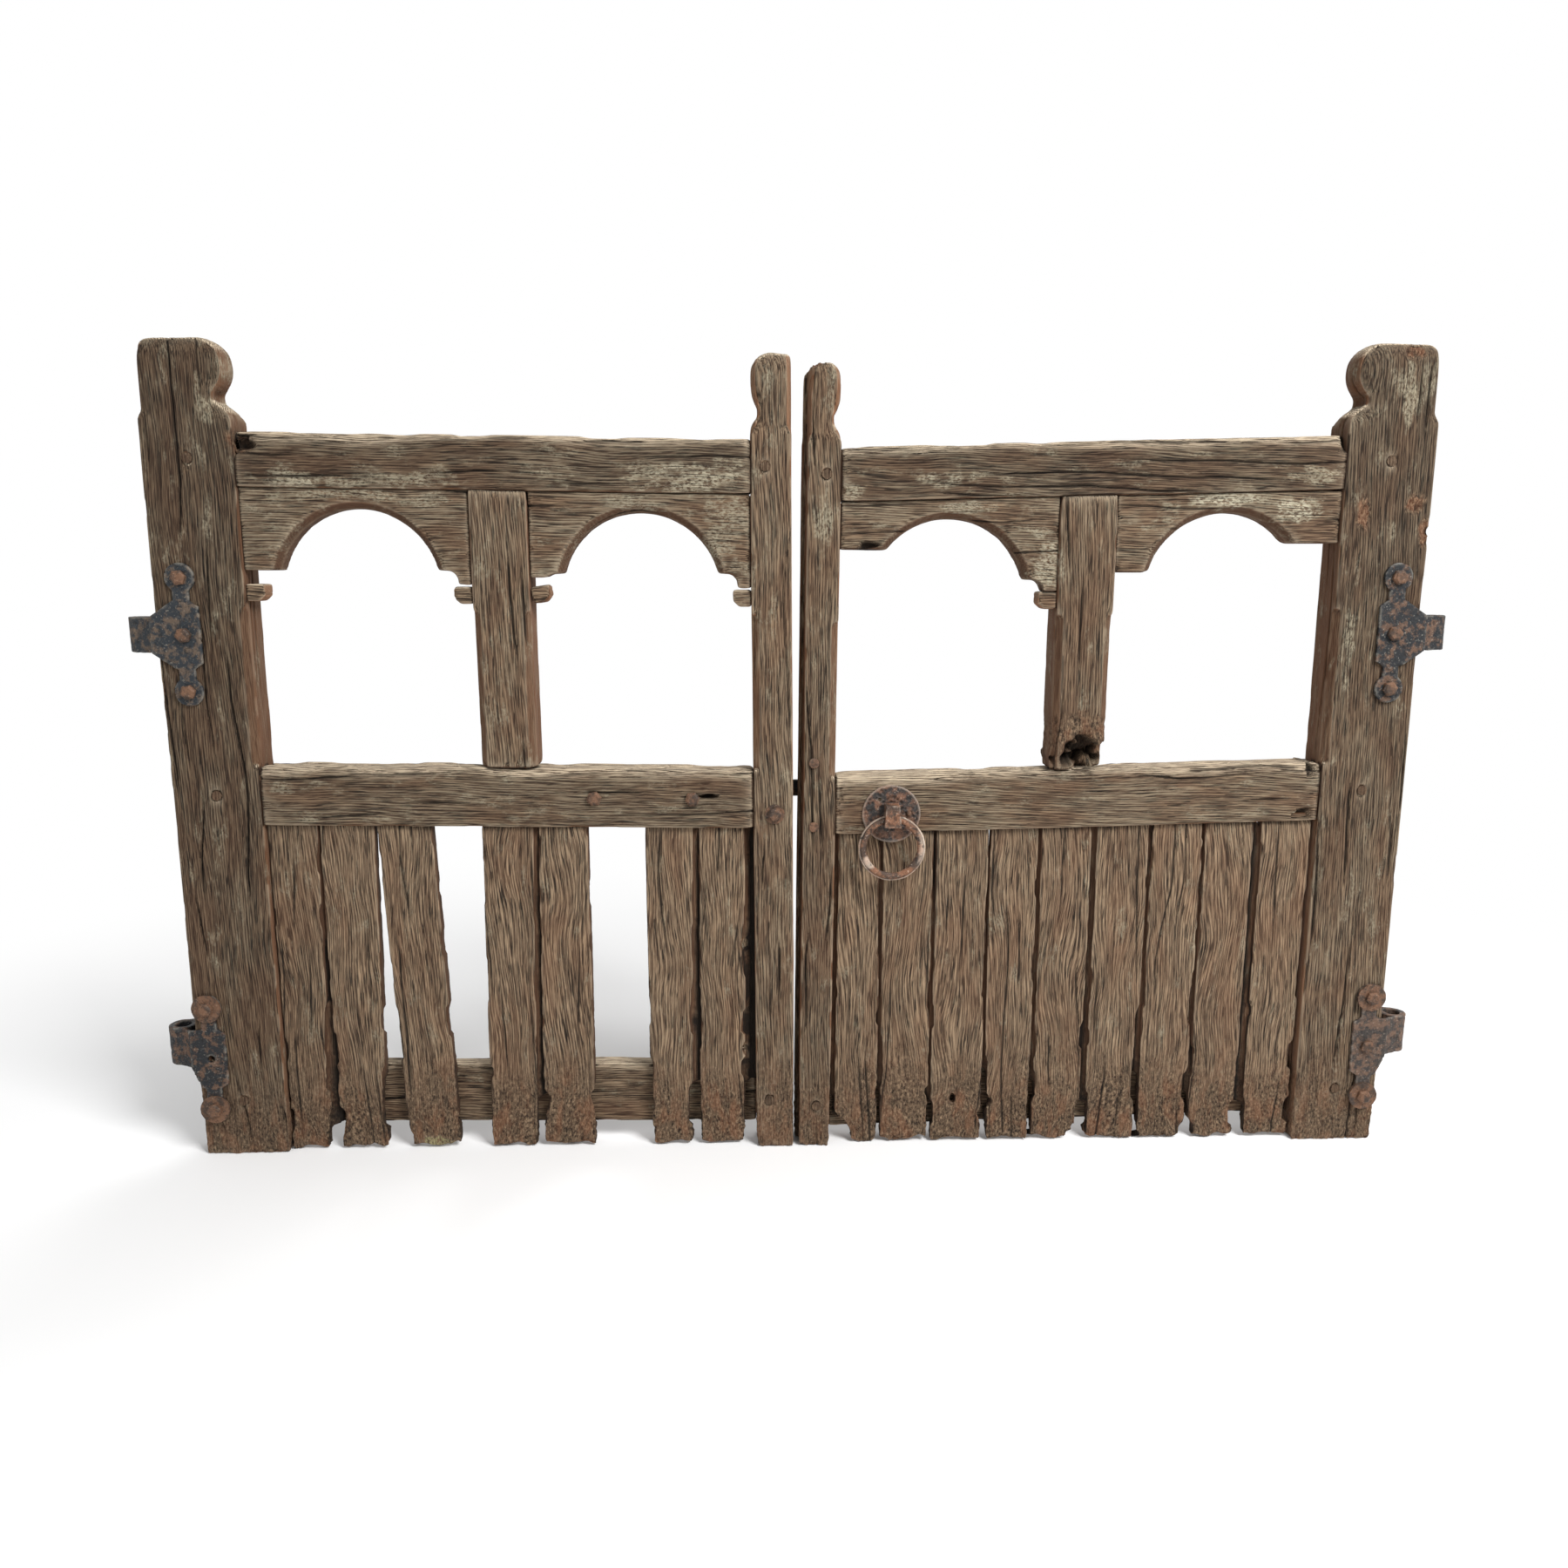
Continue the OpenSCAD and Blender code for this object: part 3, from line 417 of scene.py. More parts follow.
def oak_finish(name, grain):
    """Oak whose grain runs along one axis of the model."""
    material, tree, shader = new_material(name)
    mark, step, product, mix = finish_helpers(tree)
    along = AXES[grain]
    cross = 2 - along

    def along_grain(vector, across, length, offset=0.0):
        scale = [1 / across] * 3
        scale[along] = 1 / length
        return add(tree, "ShaderNodeMapping", None, Vector=vector, Scale=scale,
                   Location=(offset, offset, offset)).outputs[0]

    def noise(across, length, offset, *settings):
        return noise_node(tree, along_grain(fibre, across, length, offset), 1.0, *settings)

    # Each piece has its own place in the noise, and its grain sways from side to side
    piece = mark("piece")
    apart = add(tree, "ShaderNodeCombineXYZ", None, X=piece, Y=piece, Z=piece).outputs[0]
    own = vector_sum(tree, object_place(tree), apart)
    sweep = noise_node(tree, along_grain(own, 0.10, 0.24), 1.0, 1.0)
    side_step = tree.nodes.new("ShaderNodeCombineXYZ")
    tree.links.new(product(math_node(tree, "SUBTRACT", sweep, 0.5), mark("sway")), side_step.inputs[cross])
    fibre = vector_sum(tree, own, side_step.outputs[0])

    # Sizes across and along the grain in metres, offset, detail, roughness and distortion
    fine = noise(0.0013, 0.032, 0.0, 3.0, 0.65, 0.15)
    broad = noise(0.0050, 0.110, 3.1, 2.0)
    pore = noise(0.0016, 0.040, 5.3, 1.0)
    cloud = noise(0.045, 0.16, 7.7, 3.0, 0.6)
    island = noise(0.024, 0.060, 11.3, 4.0, 0.65)
    crumb = noise(0.0030, 0.0062, 13.9, 3.0, 0.65)
    speck = noise(0.0026, 0.0060, 17.1, 2.0, 0.6)
    rings = add(tree, "ShaderNodeTexWave", {"bands_direction": "DIAGONAL"},
                Vector=along_grain(fibre, 1.0, 30.0, 2.3), Scale=145.0, Distortion=9.0, Detail=2.0,
                Detail_Scale=0.8, Detail_Roughness=0.6).outputs[1]
    lichen = mark("lichen")
    rot = mark("rot")

    # Grain from dark to pale, with pores
    streak = math_node(tree, "MULTIPLY_ADD", fine, 0.70, product(broad, 0.13))
    streak = math_node(tree, "ADD", streak, product(rings, 0.17))
    light = math_node(tree, "MULTIPLY_ADD", mark("rib"), 0.05, streak)
    colour = mix(step(light, 0.31, 0.48), OAK_DARK, OAK_BROWN)
    colour = mix(step(light, 0.44, 0.72), colour, OAK_PALE)
    dots = product(step(pore, 0.57, 0.63), 0.85)
    colour = mix(dots, colour, OAK_BLACK_AND_SHADE)

    # Redder and silver clouds, sheltered faces, a browner colour with painted shade on arch undersides, and
    # the tone of the piece
    colour = mix(product(step(cloud, 0.46, 0.70), 0.24), colour, OAK_RED)
    colour = mix(product(mark("side"), 0.7), colour, OAK_SIDE)
    silver = product(product(step(cloud, 0.56, 0.40), mark("patch")), step(light, 0.42, 0.60))
    colour = mix(product(silver, 0.55), colour, OAK_SILVER)
    # Faces turned away from the front: browner, and darkened as painted shade
    colour = mix(product(mark("soffit"), 0.8), colour, OAK_SOFFIT_AND_SHADE)
    colour = add(tree, "ShaderNodeHueSaturation", None, Value=mark("tone"), Color=colour).outputs[0]

    # Bleached tops, lichen, and worn edges painted lighter as wear and as a highlight
    bleached = product(mark("top"), step(light, 0.38, 0.58))
    colour = mix(product(bleached, 0.85), colour, OAK_BLEACH)
    cover = math_node(tree, "MULTIPLY_ADD", lichen, 0.24, island)
    growth = product(step(cover, 0.56, 0.78), step(speck, 0.34, 0.60))
    growth = product(growth, step(light, 0.26, 0.52))
    film = mix(step(lichen, 0.9, 1.4), LICHEN, CRUST)
    colour = mix(product(growth, 0.85), colour, film)
    # Worn edges: lighter as wear, and as a painted highlight
    colour = mix(product(mark("arris"), 0.35), colour, OAK_BLEACH)

    # Rot, moss, and painted shade in cracks, pits, joints and gaps
    rotten = mix(step(crumb, 0.36, 0.50), OAK_BLACK_AND_SHADE, OAK_BROWN)
    rotten = mix(step(crumb, 0.50, 0.68), rotten, OAK_PALE)
    rusty = math_node(tree, "MAXIMUM", product(step(island, 0.45, 0.66), 0.45),
                      product(step(rot, 1.0, 1.4), 0.3))
    rotten = mix(rusty, rotten, OAK_RUST)
    colour = mix(product(rot, 0.85, clamp=True), colour, rotten)
    moss = product(step(lichen, 1.5, 2.0), step(speck, 0.40, 0.54))
    colour = mix(product(moss, 0.85), colour, MOSS)
    # Painted shade: cracks, pits, rib valleys, rotten crumbs, joints and the gaps between boards go dark
    colour = mix(mark("hollow"), colour, OAK_BLACK_AND_SHADE)
    tree.links.new(colour, shader.inputs["Base Color"])

    shader.inputs["Specular IOR Level"].default_value = 0.2
    rough = math_node(tree, "MULTIPLY_ADD", fine, -0.15, 0.98)
    relief = math_node(tree, "SUBTRACT", streak, product(dots, 0.35))
    relief = math_node(tree, "ADD", relief, product(crumb, rot))
    relief = math_node(tree, "ADD", relief, product(growth, 0.35))
    roughen_surface(tree, shader, rough, relief, 1.0, OAK_BUMP)
    return material


OAK = {"z": oak_finish("oak_upright", "z"), "x": oak_finish("oak_level", "x")}
print("oak finishes:", [m.name for m in OAK.values()])

# %% [markdown]
# ## Checks, broken edges and seams
# Checks are drawn as lines across the grain's own coordinate, so they stay thin and follow the grain.
# The long edges of boards have broken off in short steps, most of them near the ground. Where two oak
# pieces meet, the edge keeps its place and is painted with shade, so that joints read as joints.

# %% Helpers for weathering
CHECK_SPACING = 0.021
SEAM_REACH = 0.0030
EDGE_BAND = 0.010


def check_lines(across, along, seed):
    """Depth share of thin checks, from a coordinate across the grain and one along it."""
    flat = np.zeros_like(across)
    slow = value_noise(np.stack([across / 0.12, along / 0.30, flat], 1), seed)
    quick = value_noise(np.stack([across / 0.02, along / 0.035, flat], 1), seed + 1)
    place = (across + 0.011 * slow + 0.0009 * quick) / CHECK_SPACING
    cell = np.floor(place)
    offset = 0.30 * value_noise(np.stack([cell * 5.3, flat, flat], 1), seed + 2)
    distance = np.abs(place - cell - 0.5 - offset) * CHECK_SPACING
    stretch = value_noise(np.stack([cell * 7.3, along / 0.15 + cell * 3.1, flat], 1), seed + 3)
    open_here = ramp(stretch, 0.15, 0.6)
    width = 0.0004 + 0.0008 * open_here
    return (1 - ramp(distance, 0.4 * width, 2.0 * width)) * open_here


def front_edges(points):
    """Left and right edge of a board at the height of each point, read from its front face."""
    x, y, z = points.T
    band = np.floor(z / EDGE_BAND).astype(np.int64)
    band -= band.min()
    front = y < y.min() + 0.004
    left = np.full(band.max() + 1, np.inf)
    right = np.full(band.max() + 1, -np.inf)
    np.minimum.at(left, band[front], x[front])
    np.maximum.at(right, band[front], x[front])
    return left[band], right[band]


def eaten_edges(points, moved, left, right, seed, depth):
    """Breaks the long edges of a board in steps; most of it near the ground."""
    x, y, z = points.T
    height = z - z.min()
    low = 0.28 + 0.72 * (1 - ramp(height, 0.05, 0.36))
    for side, edge, sign, share in ((1, left, 1, 0.6), (2, right, -1, 1.0)):
        line = np.stack([height / 0.045, np.full(len(x), side * 4.1), y / 0.06], 1)
        fine = np.stack([height / 0.007, np.full(len(x), side * 9.1), y / 0.012], 1)
        bite = ramp(value_noise(line, seed + side), 0.18, 0.30) + 0.22 * value_noise(fine, seed + 5)
        inside = sign * (x - edge)
        near = np.where(inside > -0.0012, 1 - ramp(np.abs(inside), 0.0005, 0.014), 0)
        moved[:, 0] += sign * depth * share * low * np.clip(bite, 0, 1.3) * near


OAK_NODES = [s["node"] for s in frame["record"]["subparts"] if s["material_slot"] == "oak"]
OAK_TREES = {}
for node in OAK_NODES:
    source = NODES[node].data
    OAK_TREES[node] = BVHTree.FromPolygons([v.co.copy() for v in source.vertices],
                                           [list(face.vertices) for face in source.polygons])


def seams(node, points, edge):
    """How near each edge point is to another oak piece, 1 where they touch."""
    found = np.zeros(len(points))
    own_low, own_high = (np.array(corner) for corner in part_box(node))
    for other, tree in OAK_TREES.items():
        low, high = (np.array(corner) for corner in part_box(other))
        if other == node or (low - SEAM_REACH > own_high).any() or (high + SEAM_REACH < own_low).any():
            continue
        if "board" in node and "board" in other:
            continue
        inside = (points > low - SEAM_REACH).all(1) & (points < high + SEAM_REACH).all(1) & (edge > 0.12)
        for index in np.flatnonzero(inside):
            distance = tree.find_nearest(Vector(points[index]), SEAM_REACH)[3]
            if distance is not None:
                found[index] = max(found[index], 1 - distance / SEAM_REACH)
    return found


print("oak nodes:", len(OAK_NODES))

# %% [markdown]
# ## Places that the photograph shows
# Lichen, rot and pits aren't spread evenly, so their places are read off the photograph and kept as short
# lists in metres: x, z, half width, half height, and a strength or a depth. Noise makes their rims ragged.

# %% Lichen, rot and pits by place
LICHEN_SPOTS = [
    (-0.773, 1.117, 0.056, 0.013, 1.0), (-0.613, 1.115, 0.100, 0.012, 0.8),
    (-0.704, 1.094, 0.093, 0.009, 0.8), (-0.574, 1.086, 0.043, 0.013, 0.6),
    (-0.902, 1.221, 0.018, 0.018, 0.7), (-0.953, 1.275, 0.016, 0.031, 0.5),
    (-0.876, 1.286, 0.012, 0.021, 0.7), (-0.959, 1.006, 0.021, 0.024, 0.6),
    (-0.371, 1.125, 0.035, 0.019, 0.7), (-0.163, 1.121, 0.086, 0.023, 1.0),
    (-0.111, 1.037, 0.035, 0.060, 0.8), (-0.242, 1.085, 0.051, 0.011, 0.7),
    (-0.039, 0.892, 0.011, 0.036, 0.6), (-0.045, 1.254, 0.013, 0.029, 0.6),
    (0.088, 1.102, 0.015, 0.019, 0.9), (0.231, 1.119, 0.044, 0.011, 1.0),
    (0.328, 1.115, 0.014, 0.010, 0.7), (0.263, 1.078, 0.055, 0.010, 0.9),
    (0.396, 0.992, 0.025, 0.042, 1.0), (0.041, 1.053, 0.015, 0.060, 0.7),
    (0.050, 1.251, 0.013, 0.043, 0.7), (0.680, 1.089, 0.064, 0.011, 1.2),
    (0.794, 1.071, 0.033, 0.021, 1.2), (0.585, 1.069, 0.019, 0.014, 0.8),
    (0.808, 1.124, 0.047, 0.012, 0.7), (0.962, 1.252, 0.039, 0.052, 0.6),
    (0.889, 0.854, 0.010, 0.054, 0.9)]
MOSS_SPOT = (-0.613, 0.010, 0.028, 0.013, 2.4)
ROT_SPOTS = [
    (0.959, 1.313, 0.014, 0.011, 1.5), (0.979, 1.082, 0.013, 0.014, 1.5),
    (0.898, 1.068, 0.010, 0.022, 1.5), (1.000, 1.040, 0.011, 0.018, 1.5),
    (-0.853, 1.171, 0.018, 0.015, 1.2), (0.470, 0.715, 0.060, 0.030, 1.0),
    (0.032, 1.300, 0.016, 0.014, 1.5)]
PITS = {
    "left_top_rail": [(-0.853, 1.172, 0.020, 0.018, 0.016)],
    "right_muntin": [(0.470, 0.690, 0.034, 0.030, 0.034), (0.445, 0.676, 0.030, 0.014, 0.026)],
    "right_mid_rail": [(0.470, 0.668, 0.040, 0.012, 0.014), (0.838, 0.582, 0.016, 0.011, 0.014),
                       (0.848, 0.655, 0.010, 0.016, 0.014)],
    "right_top_rail": [(0.861, 1.176, 0.012, 0.018, 0.014)],
    "right_inner_arch": [(0.112, 1.016, 0.020, 0.008, 0.012)],
    "left_mid_rail": [(-0.148, 0.617, 0.015, 0.006, 0.018)],
}


def spots(points, places, seed):
    """How strongly each point lies inside any of the ragged spots."""
    found = np.zeros(len(points))
    ragged = 0.35 * value_noise(points / 0.012, seed) + 0.2 * value_noise(points / 0.005, seed + 1)
    for x, z, wide, tall, strength in places:
        reach = np.hypot((points[:, 0] - x) / wide, (points[:, 2] - z) / tall) + ragged
        found = np.maximum(found, strength * (1 - ramp(reach, 0.6, 1.5)))
    return found


def sink_pits(points, normals, moved, pits, field, seed):
    """Sinks pits into the front of a piece and returns how far each point lies in one."""
    deep = np.zeros(len(points))
    for x, z, wide, tall, depth in pits:
        reach = np.hypot((points[:, 0] - x) / wide, (points[:, 2] - z) / tall)
        reach += 0.45 * value_noise(points / 0.009, seed + 31) + 0.3 * field(0.006, 0.03, 9)
        hole = (1 - ramp(reach, 0.55, 1.05)) * (normals[:, 1] < 0.5)
        moved[:, 1] += depth * hole
        deep = np.maximum(deep, hole)
    return deep


print("lichen:", len(LICHEN_SPOTS), "rot:", len(ROT_SPOTS), "pits:", sum(map(len, PITS.values())))

# %% [markdown]
# ## Finials, rail tops and board ends
# Finials are carved round, so everything above their neck is relaxed many times. Rails are worn along the
# top, where water stands. Boards crumble at the foot, and their tongues are drawn out a little to close the
# gaps between boards, and the tongues are painted with shade so that the gaps look dark.

# %% Wear that belongs to one kind of piece
FINIAL_PASSES = 260
TONGUE_OUT = 6 * MM
TONGUE_BACK = 3 * MM
FOOT_BITE = 11 * MM
FOOT_DROP = 0.85


def rounded_top(points, edges, low, passes):
    """Points with everything above low rounded off evenly in all directions."""
    part = edges[(points[:, 2] > low)[edges].all(1)]
    pull = 1 / np.maximum(((points[part[:, 0]] - points[part[:, 1]]) ** 2).sum(1), 1e-7)
    count = len(points)
    total = np.bincount(part[:, 0], pull, count) + np.bincount(part[:, 1], pull, count)
    inside = total > 0
    soft = points.copy()
    for _ in range(passes):
        for axis in range(3):
            column = soft[:, axis]
            drawn = np.bincount(part[:, 0], pull * column[part[:, 1]], count)
            drawn += np.bincount(part[:, 1], pull * column[part[:, 0]], count)
            soft[inside, axis] = 0.5 * column[inside] + 0.5 * drawn[inside] / total[inside]
    return soft


def round_finial(points, edges, above):
    """Points with the finial above a height rounded towards both faces."""
    _, y, z = points.T
    soft = rounded_top(points, edges, above - 0.03, FINIAL_PASSES)
    near_face = ramp(np.abs(y - (y.max() + y.min()) / 2), 0.002, 0.028)
    share = near_face * ramp(z, above, above + 0.02)
    return points + (soft - points) * share[:, None]


def worn_crest(points, worn_top, field):
    """How far each point belongs to the worn top of a rail, and how torn the oak is there."""
    x, _, z = points.T
    band = np.floor((x - x.min()) / 0.02).astype(np.int64)
    highest = np.full(band.max() + 1, -np.inf)
    np.maximum.at(highest, band, z)
    below = highest[band] - z + 0.007 * field(0.03, 0.11, 14)
    crest = worn_top * (1 - ramp(below, 0.001, 0.020))
    torn = ramp(field(0.0032, 0.09, 15) + 0.5 * field(0.006, 0.03, 16), 0.18, 0.42)
    return crest, torn * crest * ramp(below, 0.0, 0.006)


def close_gaps(points, moved, left, right, beside):
    """Draws a board's tongues into the gaps beside it and up to the rail."""
    x, _, z = points.T
    moved[:, 0] += TONGUE_OUT * beside * np.sign(x - (left + right) / 2)
    moved[:, 1] += TONGUE_BACK * beside
    for sign, side in ((-1, x < left), (1, x > right)):
        tongue = side & (z < z.max() - 0.008) & (beside > 0.3)
        if tongue.any():
            height = z[tongue]
            top = height.max()
            moved[tongue, 2] += max(z.max() - 0.0005 - top, 0.0) * ramp(height, top - 0.060, top)
            moved[tongue, 0] += sign * TONGUE_OUT * ramp(height, top - 0.030, top)


def crumble_foot(points, moved, crumbs, field):
    """Breaks up the foot of a board and brings it down near the floor."""
    foot = points[:, 2].min()
    near = 1 - ramp(points[:, 2] - foot, 0.003, 0.045)
    bite = 0.3 + 0.45 * field(0.016, 0.06, 12) + 0.6 * field(0.038, 0.08, 13) + 0.16 * crumbs
    moved[:, 2] += near * (FOOT_BITE * np.clip(bite, 0, 1.4) - FOOT_DROP * foot)


print("wear helpers ready")

# %% [markdown]
# ## Shaping the oak
# One function weathers every oak piece. Slow waves, ribs, checks and chipped edges are on all of them, and
# the helpers above add what belongs to one kind. Backs are only worn inward, so that the latch behind the
# right leaf stays free to move. What was done to each point is stored for the finish to read.

# %% Weather one oak piece
OAK_VOXEL = 1.7 * MM
WAVE_DEPTH = 0.9 * MM
RIB_DEPTH = 0.5 * MM
CHECK_DEPTH = 3.4 * MM
CHIP_DEPTH = 4.2 * MM
EDGE_DEPTH = 0.8 * MM
SEAM_DEPTH = 0.5 * MM
CREST_DEPTH = 3 * MM
STEP_DEPTH = 8 * MM
# How dark the painted shade may get
SHADE_MOST = 0.96


def weather(node, body, grain, squeeze, seed, tone=1.0, patch=0.5, check=1.0, rotten=0.0, board=False,
            sway=0.02, round_above=None, soffit=0.0, worn_top=0.0, pits=(), fade=0.0):
    """Replaces an oak node by a weathered copy of itself."""
    mesh, points, normals, proud, edges = even_mesh(node, OAK_VOXEL, grain, squeeze, 3)
    along = AXES[grain]
    cross = 2 - along
    if round_above:
        points = round_finial(points, edges, round_above)
    drift = points.copy()
    drift[:, cross] += 0.010 * value_noise(points / 0.16, seed + 11)

    def field(across, length, number):
        scale = np.full(3, 1 / across)
        scale[along] = 1 / length
        return value_noise(drift * scale + seed * 3.7, seed + number)

    # What time has done to each point
    wave = field(0.045, 0.22, 1)
    rib = 0.6 * field(0.0042, 0.060, 2) + 0.35 * field(0.0085, 0.13, 3) + 0.2 * field(0.020, 0.28, 4)
    facing_side = np.abs(normals[:, cross]) > np.abs(normals[:, 1])
    tangent = np.where(facing_side, drift[:, 1], drift[:, cross])
    crack = check_lines(tangent, drift[:, along], seed * 13)
    edge = np.clip(proud * 2.2, 0, 1)
    chip = edge * ramp(field(0.010, 0.028, 7), 0.0, 0.5)
    seam = seams(node, points, edge)
    edge *= 1 - seam
    chip *= 1 - seam
    height = points[:, 2] - points[:, 2].min()
    rot = rotten * (1 - ramp(height + 0.05 * field(0.03, 0.06, 8), 0.03, 0.19))
    rot = np.maximum(rot, spots(points, ROT_SPOTS, seed + 41))
    lichen = 0.15 * patch + spots(points, [*LICHEN_SPOTS, MOSS_SPOT], seed + 43)
    crumbs = value_noise(points / 0.0044, seed + 21) + 0.7 * value_noise(points / 0.010, seed + 22)
    crest = np.zeros(len(points))
    if worn_top:
        crest, torn = worn_crest(points, worn_top, field)
        crack = np.maximum(crack, torn)
    beside = np.zeros(len(points))
    if board:
        left, right = front_edges(points)
        beside = ramp(np.maximum(left - points[:, 0], points[:, 0] - right), 0.0004, 0.0016)

    # The same as shape
    push = WAVE_DEPTH * wave + RIB_DEPTH * rib
    push -= CHECK_DEPTH * check * crack
    push -= CHIP_DEPTH * chip + EDGE_DEPTH * edge + SEAM_DEPTH * seam
    push += rot * MM * (2.0 * crumbs - 1.7)
    push = np.where(normals[:, 1] > 0.5, np.minimum(push, 0), push)
    moved = points + normals * (push * (1 - beside))[:, None]
    middle = (points[:, 1].max() + points[:, 1].min()) / 2
    moved[:, 1] -= 0.20 * (moved[:, 1] - middle) * crest ** 2
    moved[:, 2] -= CREST_DEPTH * crest * ramp(field(0.02, 0.05, 17), -0.2, 0.6)
    deep = sink_pits(points, normals, moved, pits, field, seed)
    if board:
        eaten_edges(points, moved, left, right, seed * 5, STEP_DEPTH)
        close_gaps(points, moved, left, right, beside)
        crumble_foot(points, moved, crumbs, field)
        # Side faces of boards are painted with shade as well
        beside = np.maximum(beside, 0.75 * ramp(np.abs(normals[:, 0]), 0.6, 0.9))
    moved[:, 2] = np.maximum(moved[:, 2], 0.0)
    place_points(mesh, moved)

    # The same as colour
    # Painted shade in cracks, rib valleys, pits and crumbling rot; joints and board gaps join it below
    hollow = crack + 0.12 * ramp(-rib, 0.35, 0.8) + 0.8 * deep + 0.5 * rot * ramp(-crumbs, 0.3, 1.0)
    marks = {
        "rib": rib,
        "hollow": np.clip(hollow + 0.9 * seam + beside, 0, 1) * SHADE_MOST,
        "arris": np.clip(edge - chip - seam - beside, 0, 1),
        "side": ramp(np.abs(normals[:, 0]), 0.5, 0.9) + ramp(-normals[:, 2], 0.3, 0.8),
        "soffit": soffit * ramp(1 - np.abs(normals[:, 1]), 0.10, 0.30) * (normals[:, 2] < 0.5),
        "top": np.maximum(ramp(normals[:, 2], 0.35, 0.85), 0.85 * crest),
        "rot": rot,
        "lichen": lichen,
        "tone": tone * (1 - fade * ramp(points[:, 2], 0.15, 1.15)),
        "patch": patch,
        "sway": sway,
        "piece": 1.37 * seed,
    }
    for label, values in marks.items():
        store(mesh, label, values)
    return finish_piece(node + "_oak", mesh, OAK[grain], body, node)


print("weathering ready")

# %% [markdown]
# ## Every oak piece
# What a piece is decides its grain and how it wears. Its tone is set one by one, because each piece of oak
# has aged to a brown of its own, and the hanging stiles are darker towards the top. The seed is the
# piece's place in the list, so that no two pieces are alike and each run is the same.

# %% Weather the frame and the boards
FINIAL_H = 0.125
BOARD_TONE = 1.16
TONES = {
    "left_hanging_stile": 0.70, "left_top_rail": 0.64, "left_mid_rail": 0.76, "left_muntin": 0.94,
    "left_meeting_stile": 0.92, "left_board_1": 1.0, "left_bottom_rail": 0.9, "left_outer_arch": 0.85,
    "left_inner_arch": 0.88, "right_top_rail": 0.62, "right_meeting_stile": 0.84,
    "right_mid_rail": 0.88, "right_hanging_stile": 0.88, "right_muntin": 0.85,
    "right_inner_arch": 0.85, "right_outer_arch": 0.85}
FADES = {"left_hanging_stile": 0.22, "right_hanging_stile": 0.38}


def leaf_of(node):
    """The leaf that a piece of the frame belongs to."""
    return "left_leaf" if node.startswith("left") else "right_leaf"


def piece_settings(node):
    """Grain direction and how weathered a piece is, by what it is."""
    if "bottom_rail" in node:
        return {"grain": "x", "squeeze": 4.0, "patch": 0.2, "worn_top": 0.5}
    if "rail" in node:
        return {"grain": "x", "squeeze": 4.0, "patch": 0.8, "worn_top": 1.0}
    if "arch" in node:
        return {"grain": "x", "squeeze": 2.0, "patch": 1.0, "check": 0.7, "soffit": 1.0}
    if "board" in node:
        return {"grain": "z", "squeeze": 4.0, "patch": 0.2, "check": 0.4, "rotten": 1.0, "board": True,
                "sway": 0.055}
    if "impost" in node:
        return {"grain": "x", "squeeze": 1.0, "patch": 0.4, "check": 0.3}
    if "stile" in node:
        return {"grain": "z", "squeeze": 3.0, "patch": 0.5, "rotten": 0.75, "check": 1.3,
                "round_above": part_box(node)[1][2] - FINIAL_H}
    return {"grain": "z", "squeeze": 3.0, "patch": 0.5, "soffit": 0.5}


oak_pieces = []
for number, node in enumerate(OAK_NODES):
    tone = TONES.get(node, BOARD_TONE if "board" in node else 1.0)
    oak_pieces.append(weather(node, leaf_of(node), seed=number + 1, tone=tone, pits=PITS.get(node, ()),
                              fade=FADES.get(node, 0.0), **piece_settings(node)))
print("oak pieces:", len(oak_pieces), "triangles:", sum(2 * len(p.data.polygons) for p in oak_pieces))

# %% [markdown]
# ## Iron
# The hinges are forged plates with lobed ends, joined by a strap that is rolled into an eye. Old paint and
# scale leave them blue-black, with brown rust where it flaked off and bright lines on worn edges, and their
# finish adds painted glints and painted shade in pits. Bolts and the latch are rustier. One finish serves
# all, with its colours as settings.

# %% Iron finishes and hinges
# Near black for dark specks of scale and for painted shade in pits
IRON_SPECK_AND_SHADE = linear(18, 15, 14)
IRON_BUMP = 1.1 * MM
# Dark, rust and worn-metal colours (the last also painted as glints), the noise levels where rust begins and
# is full, and how metallic it is
IRON_RECIPES = {
    "scale_iron": ((26, 28, 31), (90, 68, 54), (164, 158, 146), 0.48, 0.62, 0.12),
    "brown_iron": ((50, 45, 42), (98, 76, 62), (164, 150, 136), 0.42, 0.60, 0.12),
    "dirty_iron": ((32, 37, 42), (88, 74, 62), (154, 146, 132), 0.47, 0.62, 0.12),
    "bolt_iron": ((58, 46, 38), (106, 77, 58), (164, 140, 120), 0.38, 0.60, 0.15),
    "latch_iron": ((70, 55, 46), (124, 87, 65), (208, 190, 172), 0.42, 0.60, 0.2),
    "rose_iron": ((48, 44, 42), (110, 79, 62), (180, 162, 146), 0.42, 0.60, 0.2),
}
HINGES = {"left_upper_hinge": "dirty_iron", "left_lower_hinge": "scale_iron",
          "right_upper_hinge": "scale_iron", "right_lower_hinge": "brown_iron"}
HINGE_VOXEL = 1.5 * MM
HINGE_ROUGHNESS = 0.8
CLENCH_OUT = 2.6 * MM


